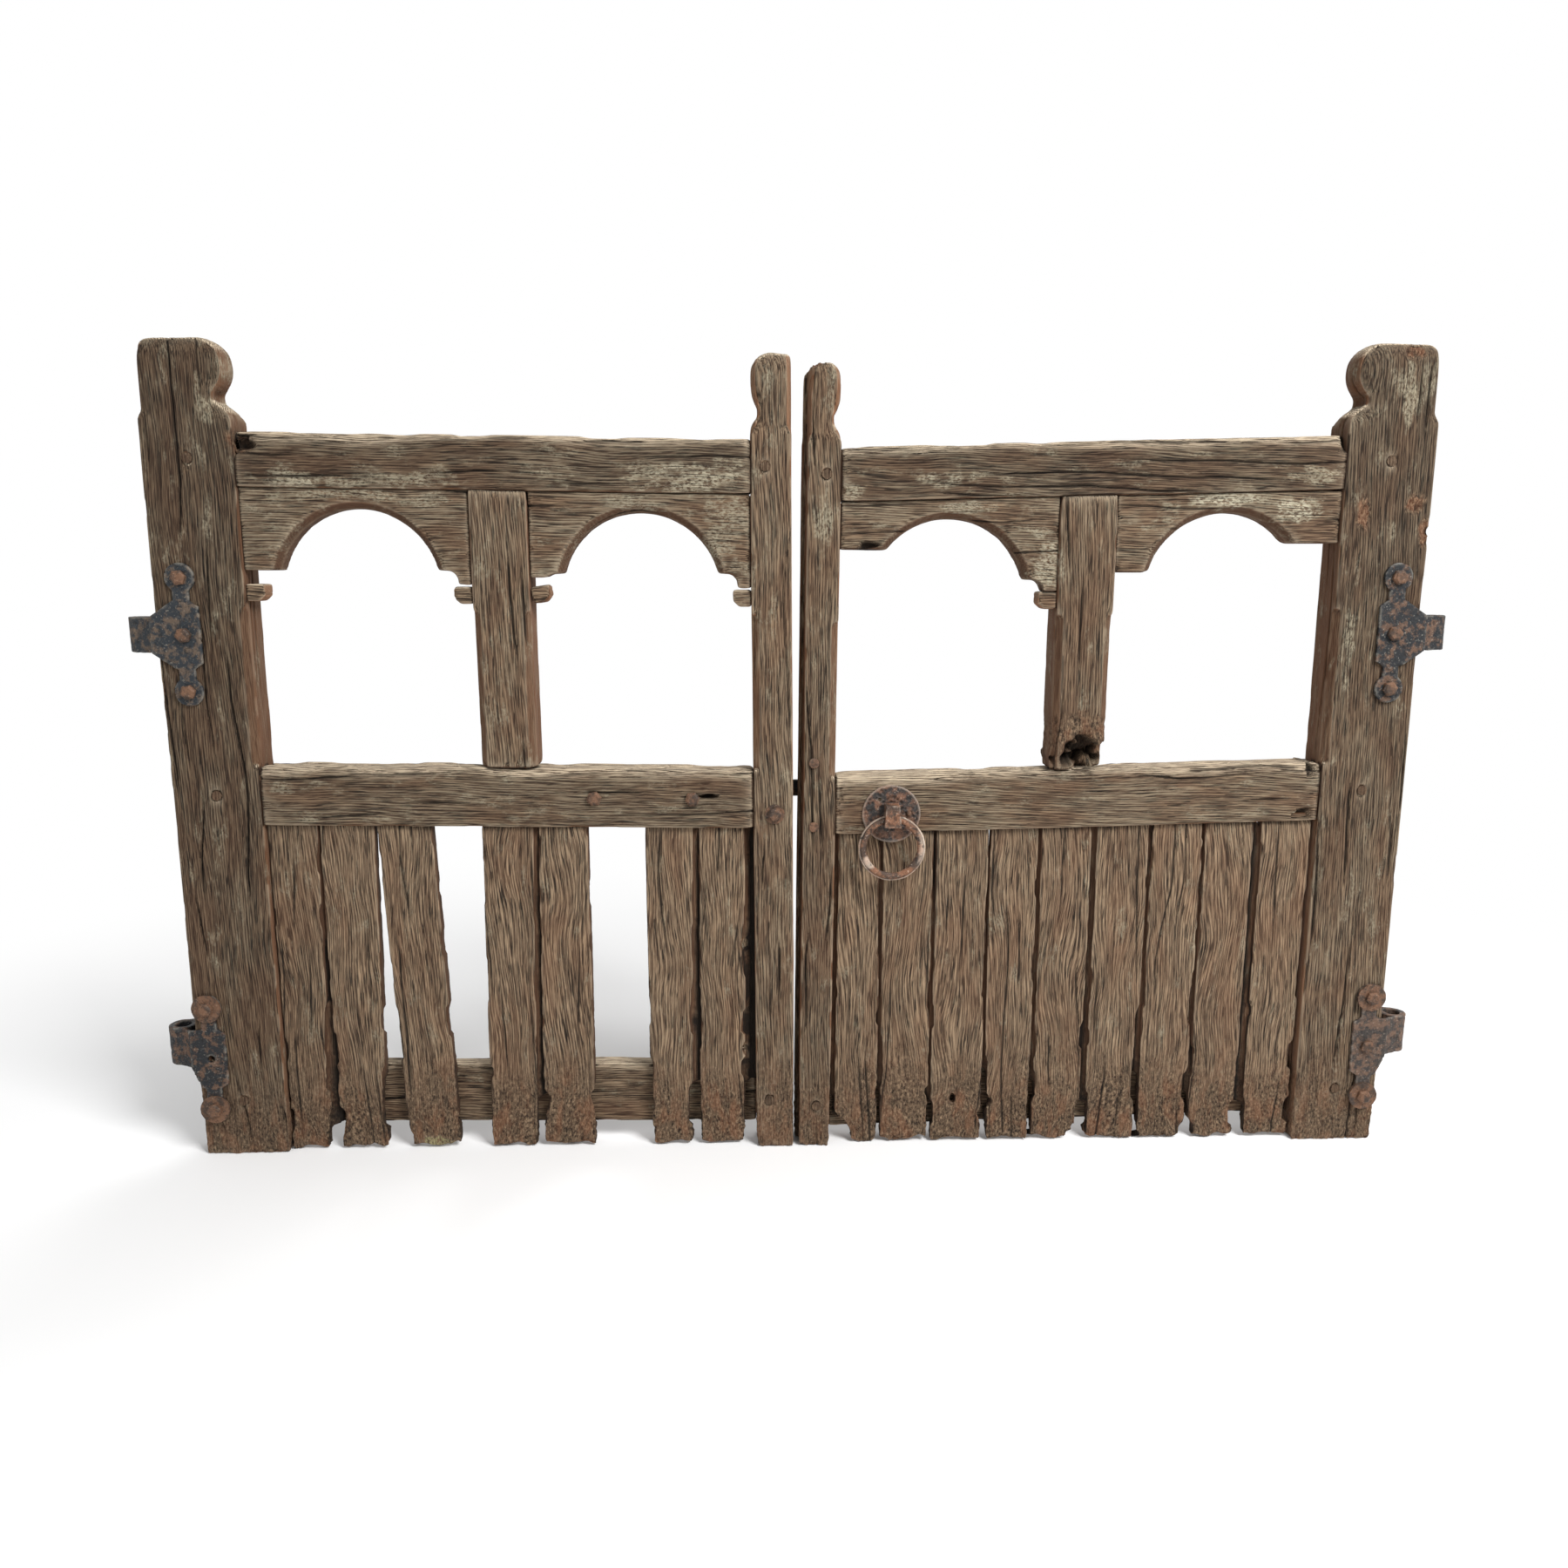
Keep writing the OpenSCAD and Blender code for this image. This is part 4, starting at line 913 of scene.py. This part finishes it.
def iron_finish(name, dark, rust, wear_and_glint, rust_from, rust_to, metal):
    """Pitted iron: scale and rust in patches, bright worn edges, painted glints, and painted shade in pits.
    """
    material, tree, shader = new_material(name)
    place = object_place(tree)
    patch = noise_node(tree, place, 58.0, 4.0, 0.66)
    speck = noise_node(tree, place, 320.0, 3.0, 0.7)
    wear_and_glint_colour = linear(*wear_and_glint)
    mark, step, product, mix = finish_helpers(tree)
    colour = mix(step(patch, rust_from, rust_to), linear(*dark), linear(*rust))
    # Painted glints: bright specks stand in for highlights
    colour = mix(product(step(speck, 0.58, 0.74), 0.55), colour, wear_and_glint_colour)
    colour = mix(product(mark("arris"), 0.55), colour, wear_and_glint_colour)
    # Painted shade in pits, dimples and creases, with random dark specks of scale
    shadow = math_node(tree, "MAXIMUM", mark("pit"), step(speck, 0.42, 0.30))
    colour = mix(product(shadow, 0.85), colour, IRON_SPECK_AND_SHADE)
    tree.links.new(colour, shader.inputs["Base Color"])
    shader.inputs["Metallic"].default_value = metal
    shader.inputs["Specular IOR Level"].default_value = 0.35
    rough = math_node(tree, "MULTIPLY_ADD", patch, 0.5, 0.42)
    relief = math_node(tree, "ADD", product(patch, 0.5), speck)
    roughen_surface(tree, shader, rough, relief, 0.8, IRON_BUMP)
    return material


IRON = {name: iron_finish(name, *recipe) for name, recipe in IRON_RECIPES.items()}


def clench_ends(points, moved, amount):
    """Spreads the two front ends of a staple into round heads."""
    end = 1 - ramp(points[:, 1], points[:, 1].min() + 0.0005, points[:, 1].min() + 0.0025)
    upper = points[:, 2] > points[:, 2].mean()
    for part in (upper, ~upper):
        centre = (points[part].max(0) + points[part].min(0)) / 2
        tip = points[part & (end > 0.5)]
        centre[2] = (tip[:, 2].max() + tip[:, 2].min()) / 2
        spread = (points[part] - centre) * (1, 0, 1)
        square = np.abs(spread).max(1) / np.maximum(np.hypot(spread[:, 0], spread[:, 2]), 1e-6)
        moved[part] += end[part, None] * spread * ((1 + amount) * square - 1)[:, None]
    moved[:, 1] -= CLENCH_OUT * end


def forge(node, body, material, voxel, roughen=0.5, clench=0.0):
    """Replaces an iron node by a copy with rounded edges and pits; clench spreads ends at the front."""
    mesh, points, normals, proud, _ = even_mesh(node, voxel, relax_passes=2)
    seed = len(node) * 17 + len(mesh.vertices) % 97
    swell = value_noise(points / 0.022, seed)
    scale = value_noise(points / 0.0065, seed + 1)
    pit = ramp(value_noise(points / 0.0038, seed + 2), 0.35, 0.75)
    push = roughen * MM * (0.7 * swell + 0.45 * scale - 1.1 * pit)
    moved = points + normals * push[:, None]
    if clench:
        clench_ends(points, moved, clench)
    place_points(mesh, moved)
    # Pits are painted with shade, and worn edges get a lighter colour
    store(mesh, "pit", pit * 0.7)
    store(mesh, "arris", np.clip(proud * 1.8, 0, 1) * ramp(scale, -0.3, 0.5))
    return finish_piece(node + "_iron", mesh, material, body, node)


hinges = [forge(node, leaf_of(node), IRON[finish], HINGE_VOXEL, HINGE_ROUGHNESS)
          for node, finish in HINGES.items()]
print("hinges:", [len(p.data.polygons) for p in hinges])

# %% [markdown]
# ## Fixings with Geometry Nodes
# Bolts and pegs repeat, so each is made once as a tree of Geometry Nodes and put on points. The points come
# from the loose solids of the CAD node, and a fixed seed turns each one a little. Noise dents them, since no
# two old bolts are alike.

# %% Geometry Nodes helpers
TURN_SEED = 4


def geometry_tree(name, numbers):
    """An empty Geometry Nodes tree with named number inputs: the tree, its inputs by name, its output."""
    tree = bpy.data.node_groups.new(name, "GeometryNodeTree")
    tree.interface.new_socket("Points", in_out="INPUT", socket_type="NodeSocketGeometry")
    for label in numbers:
        tree.interface.new_socket(label, in_out="INPUT", socket_type="NodeSocketFloat")
    tree.interface.new_socket("Paint", in_out="INPUT", socket_type="NodeSocketMaterial")
    tree.interface.new_socket("Geometry", in_out="OUTPUT", socket_type="NodeSocketGeometry")
    given = {socket.name: socket for socket in tree.nodes.new("NodeGroupInput").outputs}
    return tree, given, tree.nodes.new("NodeGroupOutput")


def run_tree(tree, places, values, paint):
    """Runs a tree on points at the places and returns one plain mesh."""
    cloud = bpy.data.meshes.new("places")
    cloud.from_pydata(places, [], [])
    carrier = bpy.data.objects.new("carrier", cloud)
    bpy.context.collection.objects.link(carrier)
    modifier = carrier.modifiers.new("tree", "NODES")
    modifier.node_group = tree
    for item in tree.interface.items_tree:
        if item.name in values:
            modifier[item.identifier] = values[item.name]
        if item.name == "Paint":
            modifier[item.identifier] = paint
    made = bpy.data.meshes.new_from_object(carrier.evaluated_get(bpy.context.evaluated_depsgraph_get()))
    bpy.data.objects.remove(carrier)
    bpy.data.meshes.remove(cloud)
    return made


def loose_boxes(node):
    """The box of each separate solid in a node, as pairs of corners in a fixed order."""
    shape = bmesh.new()
    shape.from_mesh(NODES[node].data)
    bmesh.ops.remove_doubles(shape, verts=shape.verts, dist=1e-6)
    left = set(shape.verts)
    found = []
    while left:
        stack = [left.pop()]
        group = []
        while stack:
            vertex = stack.pop()
            group.append(vertex.co.copy())
            for link in vertex.link_edges:
                other = link.other_vert(vertex)
                if other in left:
                    left.remove(other)
                    stack.append(other)
        found.append((Vector([min(p[i] for p in group) for i in range(3)]),
                      Vector([max(p[i] for p in group) for i in range(3)])))
    shape.free()
    return sorted(found, key=lambda box: tuple(box[0]))


def joined(meshes):
    """One mesh from several."""
    shape = bmesh.new()
    for mesh in meshes:
        shape.from_mesh(mesh)
    made = bpy.data.meshes.new("joined")
    shape.to_mesh(made)
    shape.free()
    return made


def rod(tree, sides, radius, depth, start, top=None):
    """A prism or frustum along Z that begins at height start."""
    node = add(tree, "GeometryNodeMeshCone", None, Vertices=sides, Radius_Bottom=radius, Depth=depth,
               Radius_Top=radius if top is None else top)
    lift = add(tree, "ShaderNodeCombineXYZ", None, Z=start)
    return add(tree, "GeometryNodeTransform", None, Geometry=node.outputs["Mesh"],
               Translation=lift.outputs[0]).outputs[0]


def place_and_dent(tree, given, shape, output):
    """Puts the shape on each point facing the front, turns each a little, and dents them by noise."""
    whole = add(tree, "GeometryNodeInstanceOnPoints", None, Points=given["Points"], Instance=shape,
                Rotation=(math.pi / 2, 0, 0))
    turn = add(tree, "FunctionNodeRandomValue", {"data_type": "FLOAT_VECTOR"}, Seed=TURN_SEED)
    turn.inputs[0].default_value = (0, 0, 0)
    turn.inputs[1].default_value = (0, 0, math.pi / 3)
    turned = add(tree, "GeometryNodeRotateInstances", None, Instances=whole.outputs[0],
                 Rotation=turn.outputs[0], Local_Space=True)
    solid = add(tree, "GeometryNodeRealizeInstances", None, Geometry=turned.outputs[0])
    split = add(tree, "GeometryNodeSubdivideMesh", None, Mesh=solid.outputs[0], Level=2)
    where = tree.nodes.new("GeometryNodeInputPosition").outputs[0]
    wobble = add(tree, "ShaderNodeTexNoise", None, Vector=where, Scale=130.0, Detail=2.0)
    centred = add(tree, "ShaderNodeVectorMath", {"operation": "SUBTRACT"})
    tree.links.new(wobble.outputs["Color"], centred.inputs[0])
    centred.inputs[1].default_value = (0.5, 0.5, 0.5)
    sized = add(tree, "ShaderNodeVectorMath", {"operation": "SCALE"}, Scale=given["Dent"])
    tree.links.new(centred.outputs[0], sized.inputs[0])
    moved = add(tree, "GeometryNodeSetPosition", None, Geometry=split.outputs[0], Offset=sized.outputs[0])
    painted = add(tree, "GeometryNodeSetMaterial", None, Geometry=moved.outputs[0], Material=given["Paint"])
    tree.links.new(painted.outputs[0], output.inputs[0])


print("Geometry Nodes helpers ready")

# %% [markdown]
# ## Bolts
# A bolt is a hexagon with a chamfered crown, a shank through the oak, a nut, and a washer where there is
# one. Its length and its washer are read from the box of the CAD bolt that it stands for.

# %% Bolts on the hinges and rails
HEAD_R = 12.2 * MM
HEAD_T = 8 * MM
SHANK_R = 5.8 * MM
TAIL = 6 * MM
WASHER_T = 3 * MM
WASHER_FROM = 28 * MM
HIDDEN_R = 8 * MM
HIDDEN_T = 1 * MM
BOLT_DENT = 2.2 * MM
CROWN_SHARE = 0.34
CROWN_TOP = 0.70
BOLTS = {"left_hinge_bolts": "left_bolts", "right_hinge_bolts": "right_bolts",
         "left_rail_bolts": "left_rail_bolts_worn", "left_keep_bolt": "left_keep_bolt_worn"}

bolt_tree, given, result = geometry_tree(
    "bolt", ["Head Radius", "Head Height", "Shank Radius", "Through", "Tail", "Washer Radius",
             "Washer Height", "Dent"])
head_r = given["Head Radius"]
head_h = given["Head Height"]
head_top = times(bolt_tree, head_r, CROWN_TOP)
head_wall = times(bolt_tree, head_h, 1 - CROWN_SHARE)
head_cap = times(bolt_tree, head_h, CROWN_SHARE)
below = times(bolt_tree, given["Through"], -1.0)
nut_start = math_node(bolt_tree, "SUBTRACT", below, head_h)
shank_start = math_node(bolt_tree, "SUBTRACT", nut_start, given["Tail"])
shank_run = math_node(bolt_tree, "SUBTRACT", 0.0, shank_start)
washer_start = times(bolt_tree, given["Washer Height"], -1.0)
join = bolt_tree.nodes.new("GeometryNodeJoinGeometry")
for part in (
    rod(bolt_tree, 6, head_r, head_wall, 0.0),
    rod(bolt_tree, 6, head_r, head_cap, head_wall, head_top),
    rod(bolt_tree, 12, given["Shank Radius"], shank_run, shank_start),
    rod(bolt_tree, 6, head_r, head_h, nut_start),
    rod(bolt_tree, 24, given["Washer Radius"], given["Washer Height"], washer_start),
):
    bolt_tree.links.new(part, join.inputs[0])
place_and_dent(bolt_tree, given, join.outputs[0], result)


def bolts(node, name):
    """Replaces a node of bolts by worn bolts at the same places."""
    meshes = []
    for low, high in loose_boxes(node):
        wide = high.x - low.x
        has_washer = wide > WASHER_FROM
        seat = low.y + HEAD_T
        values = {"Head Radius": HEAD_R, "Head Height": HEAD_T, "Shank Radius": SHANK_R,
                  "Through": high.y - TAIL - HEAD_T - seat, "Tail": TAIL,
                  "Washer Radius": wide / 2 if has_washer else HIDDEN_R,
                  "Washer Height": WASHER_T if has_washer else HIDDEN_T, "Dent": BOLT_DENT}
        spot = ((low.x + high.x) / 2, seat, (low.z + high.z) / 2)
        meshes.append(run_tree(bolt_tree, [spot], values, IRON["bolt_iron"]))
    made = joined(meshes)
    store(made, "pit", 0.0)
    store(made, "arris", 0.0)
    return finish_piece(name, made, IRON["bolt_iron"], leaf_of(node), node, smooth=False)


bolt_pieces = [bolts(node, name) for node, name in BOLTS.items()]
print("bolts:", [len(p.data.polygons) for p in bolt_pieces])

# %% [markdown]
# ## Pegs
# Oak pegs hold the tenons. They were cut by hand, so they have ten rough sides, and they stand a little
# proud where the oak round them has worn back. They share the oak finish, with plain values for its marks.

# %% Oak pegs
PEG_SIDES = 10
PEG_PROUD = 1.2 * MM
PEG_DENT = 3 * MM
PEG_MARKS = {"rib": -0.4, "hollow": 0.15, "arris": 0.0, "side": 0.0, "top": 0.0, "soffit": 0.3, "rot": 0.2,
             "tone": 0.95, "patch": 0.2, "sway": 0.0, "piece": 0.0, "lichen": 0.0}

peg_tree, given, result = geometry_tree("peg", ["Radius", "Through", "Proud", "Dent"])
peg_start = times(peg_tree, math_node(peg_tree, "ADD", given["Through"], given["Proud"]), -1.0)
peg_length = math_node(peg_tree, "MULTIPLY_ADD", given["Proud"], 2.0, given["Through"])
place_and_dent(peg_tree, given, rod(peg_tree, PEG_SIDES, given["Radius"], peg_length, peg_start), result)


def pegs(node):
    """Replaces a node of pegs by hand-cut ones that stand a little proud of the worn oak."""
    boxes = loose_boxes(node)
    places = [((low.x + high.x) / 2, low.y, (low.z + high.z) / 2) for low, high in boxes]
    low, high = boxes[0]
    values = {"Radius": (high.x - low.x) / 2, "Through": high.y - low.y, "Proud": PEG_PROUD,
              "Dent": PEG_DENT}
    made = run_tree(peg_tree, places, values, OAK["z"])
    for label, level in PEG_MARKS.items():
        store(made, label, level)
    return finish_piece(node + "_worn", made, OAK["z"], leaf_of(node), node, smooth=False)


peg_pieces = [pegs(node) for node in ("left_pegs", "right_pegs")]
print("pegs:", [len(p.data.polygons) for p in peg_pieces])

# %% [markdown]
# ## Ring handle
# The ring is a round bar with a bead round its rim and a crease between them, so its section is drawn as
# a profile and swept round a circle. The creases are painted with shade and the bead with a highlight.
# Away from the boss the bar is a little wider inward.

# %% Ring with its bead
ring_low, ring_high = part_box("ring")
ring_centre = (ring_low + ring_high) / 2
BEAD_R = 1.8 * MM
BAR_R = (ring_high.y - ring_low.y) / 2
RING_R = (ring_high.x - ring_low.x) / 2 - BEAD_R - BAR_R
RING_STEPS = 160
BAR_STEPS = 22
BEAD_STEPS = 9
RING_WIDER = 0.15

profile = []
for share in np.linspace(0, 1, BAR_STEPS):
    angle = math.radians(32 + 296 * share)
    profile.append((RING_R + BAR_R * math.cos(angle), 0.93 * BAR_R * math.sin(angle), 0.0))
for share in np.linspace(0, 1, BEAD_STEPS):
    angle = math.radians(-125 + 250 * share)
    profile.append((RING_R + BAR_R + BEAD_R * math.cos(angle), BEAD_R * math.sin(angle), 1.0))
count = len(profile)
points = []
beads = []
for step in range(RING_STEPS):
    turn = 2 * math.pi * step / RING_STEPS
    from_top = abs((turn + math.pi / 2) % (2 * math.pi) - math.pi)
    widen = RING_WIDER * float(ramp(from_top, 0.32, 0.65))
    for radius, depth, bead in profile:
        radius -= widen * max(RING_R + BAR_R - radius, 0)
        points.append((ring_centre.x + radius * math.cos(turn), ring_centre.y + depth,
                       ring_centre.z + radius * math.sin(turn)))
        beads.append(bead)
faces = []
for step in range(RING_STEPS):
    ahead = (step + 1) % RING_STEPS
    for k in range(count):
        after = (k + 1) % count
        faces.append((step * count + k, ahead * count + k, ahead * count + after, step * count + after))
ring_mesh = bpy.data.meshes.new("ring_worn")
ring_mesh.from_pydata(points, [], faces)
ring_mesh.update()
normals = vertex_normals(ring_mesh)
points = np.array(points)
beads = np.array(beads)
if np.einsum("ij,ij->i", normals, points - np.array(ring_centre)).sum() < 0:
    ring_mesh.flip_normals()
    normals = -normals
dents = 0.35 * value_noise(points / 0.012, 3) + 0.25 * value_noise(points / 0.004, 4)
place_points(ring_mesh, points + normals * (dents * MM)[:, None])
# The creases beside the bead are painted with shade, as are random dark pits
groove = np.zeros((RING_STEPS, count))
groove[:, [0, BAR_STEPS - 1, BAR_STEPS, count - 1]] = 1.0
store(ring_mesh, "pit", np.maximum(groove.ravel(), ramp(value_noise(points / 0.005, 6), 0.45, 0.8)))
# The bead gets a painted highlight, and random patches a worn colour
store(ring_mesh, "arris", 0.6 * beads + 0.9 * ramp(value_noise(points / 0.03, 8), 0.2, 0.5))
finish_piece("ring_worn", ring_mesh, IRON["latch_iron"], "ring", "ring")
print("ring:", len(ring_mesh.polygons))

# %% [markdown]
# ## Rose plate
# The plate behind the ring is dimpled all over, as if with a punch, and its rim stands up a little. Each
# dimple is a small bowl with a raised lip, at a seeded random place on the front.

# %% Rose plate with its punched dimples
DIMPLES = 62
DIMPLE_DEPTH = 1.1 * MM
LIP_HEIGHT = 0.45 * MM
RIM_HEIGHT = 0.9 * MM
ROSE_VOXEL = 1.0 * MM

rose_mesh, points, normals, proud, _ = even_mesh("rose", ROSE_VOXEL)
rose_low, rose_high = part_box("rose")
rose_centre = (rose_low + rose_high) / 2
rose_r = (rose_high.x - rose_low.x) / 2
dice = np.random.default_rng(12)
radius = np.hypot(points[:, 0] - rose_centre.x, points[:, 2] - rose_centre.z)
front = normals[:, 1] < -0.3
push = np.zeros(len(points))
pit = np.zeros(len(points))
for _ in range(DIMPLES):
    reach = rose_r * math.sqrt(dice.uniform(0.09, 0.90))
    turn = dice.uniform(0, 2 * math.pi)
    size = dice.uniform(0.0019, 0.0034)
    gap = np.hypot(points[:, 0] - rose_centre.x - reach * math.cos(turn),
                   points[:, 2] - rose_centre.z - reach * math.sin(turn)) / size
    bowl = -DIMPLE_DEPTH * np.exp(-gap ** 2) + LIP_HEIGHT * np.exp(-(gap - 1.5) ** 2 * 3)
    push += np.where(front, bowl, 0)
    pit = np.maximum(pit, np.where(front, np.exp(-gap ** 2 * 1.2), 0))
push += np.where(front, RIM_HEIGHT * ramp(radius, rose_r - 0.006, rose_r - 0.002), 0)
push += 0.35 * MM * value_noise(points / 0.006, 31)
place_points(rose_mesh, points + normals * push[:, None])
# The dimples are painted with shade; the rim and proud edges get the lighter worn colour
store(rose_mesh, "pit", pit * 0.8)
store(rose_mesh, "arris", np.clip(proud * 1.5, 0, 1) + 0.5 * ramp(radius, rose_r - 0.005, rose_r))
finish_piece("rose_worn", rose_mesh, IRON["rose_iron"], "right_leaf", "rose")
print("rose:", len(rose_mesh.polygons))

# %% [markdown]
# ## The rest of the latch
# A square spindle goes through the rail from the boss to a finger that lifts the bar behind. The staple that
# guides the bar comes out at the front of the stile, where its two ends were hammered into round heads.

# %% Boss, bar and the rest of the latch
# Node, body, finish, voxel in metres, roughness and how far its front ends are spread
LATCH_PARTS = [
    ("boss", "spindle", "latch_iron", 1.0 * MM, 0.6, 0.0),
    ("lifter", "spindle", "scale_iron", 1.0 * MM, 0.3, 0.0),
    ("latch_bar", "latch_bar", "scale_iron", 1.2 * MM, 0.3, 0.0),
    ("latch_pivot", "right_leaf", "bolt_iron", 1.0 * MM, 0.3, 0.0),
    ("staple", "right_leaf", "bolt_iron", 1.0 * MM, 0.3, 1.0),
    ("rose_rivet", "right_leaf", "bolt_iron", 0.6 * MM, 0.3, 0.0)]
latch_pieces = [forge(node, body, IRON[finish], voxel, roughen, clench)
                for node, body, finish, voxel, roughen, clench in LATCH_PARTS]
print("latch pieces:", [len(p.data.polygons) for p in latch_pieces])
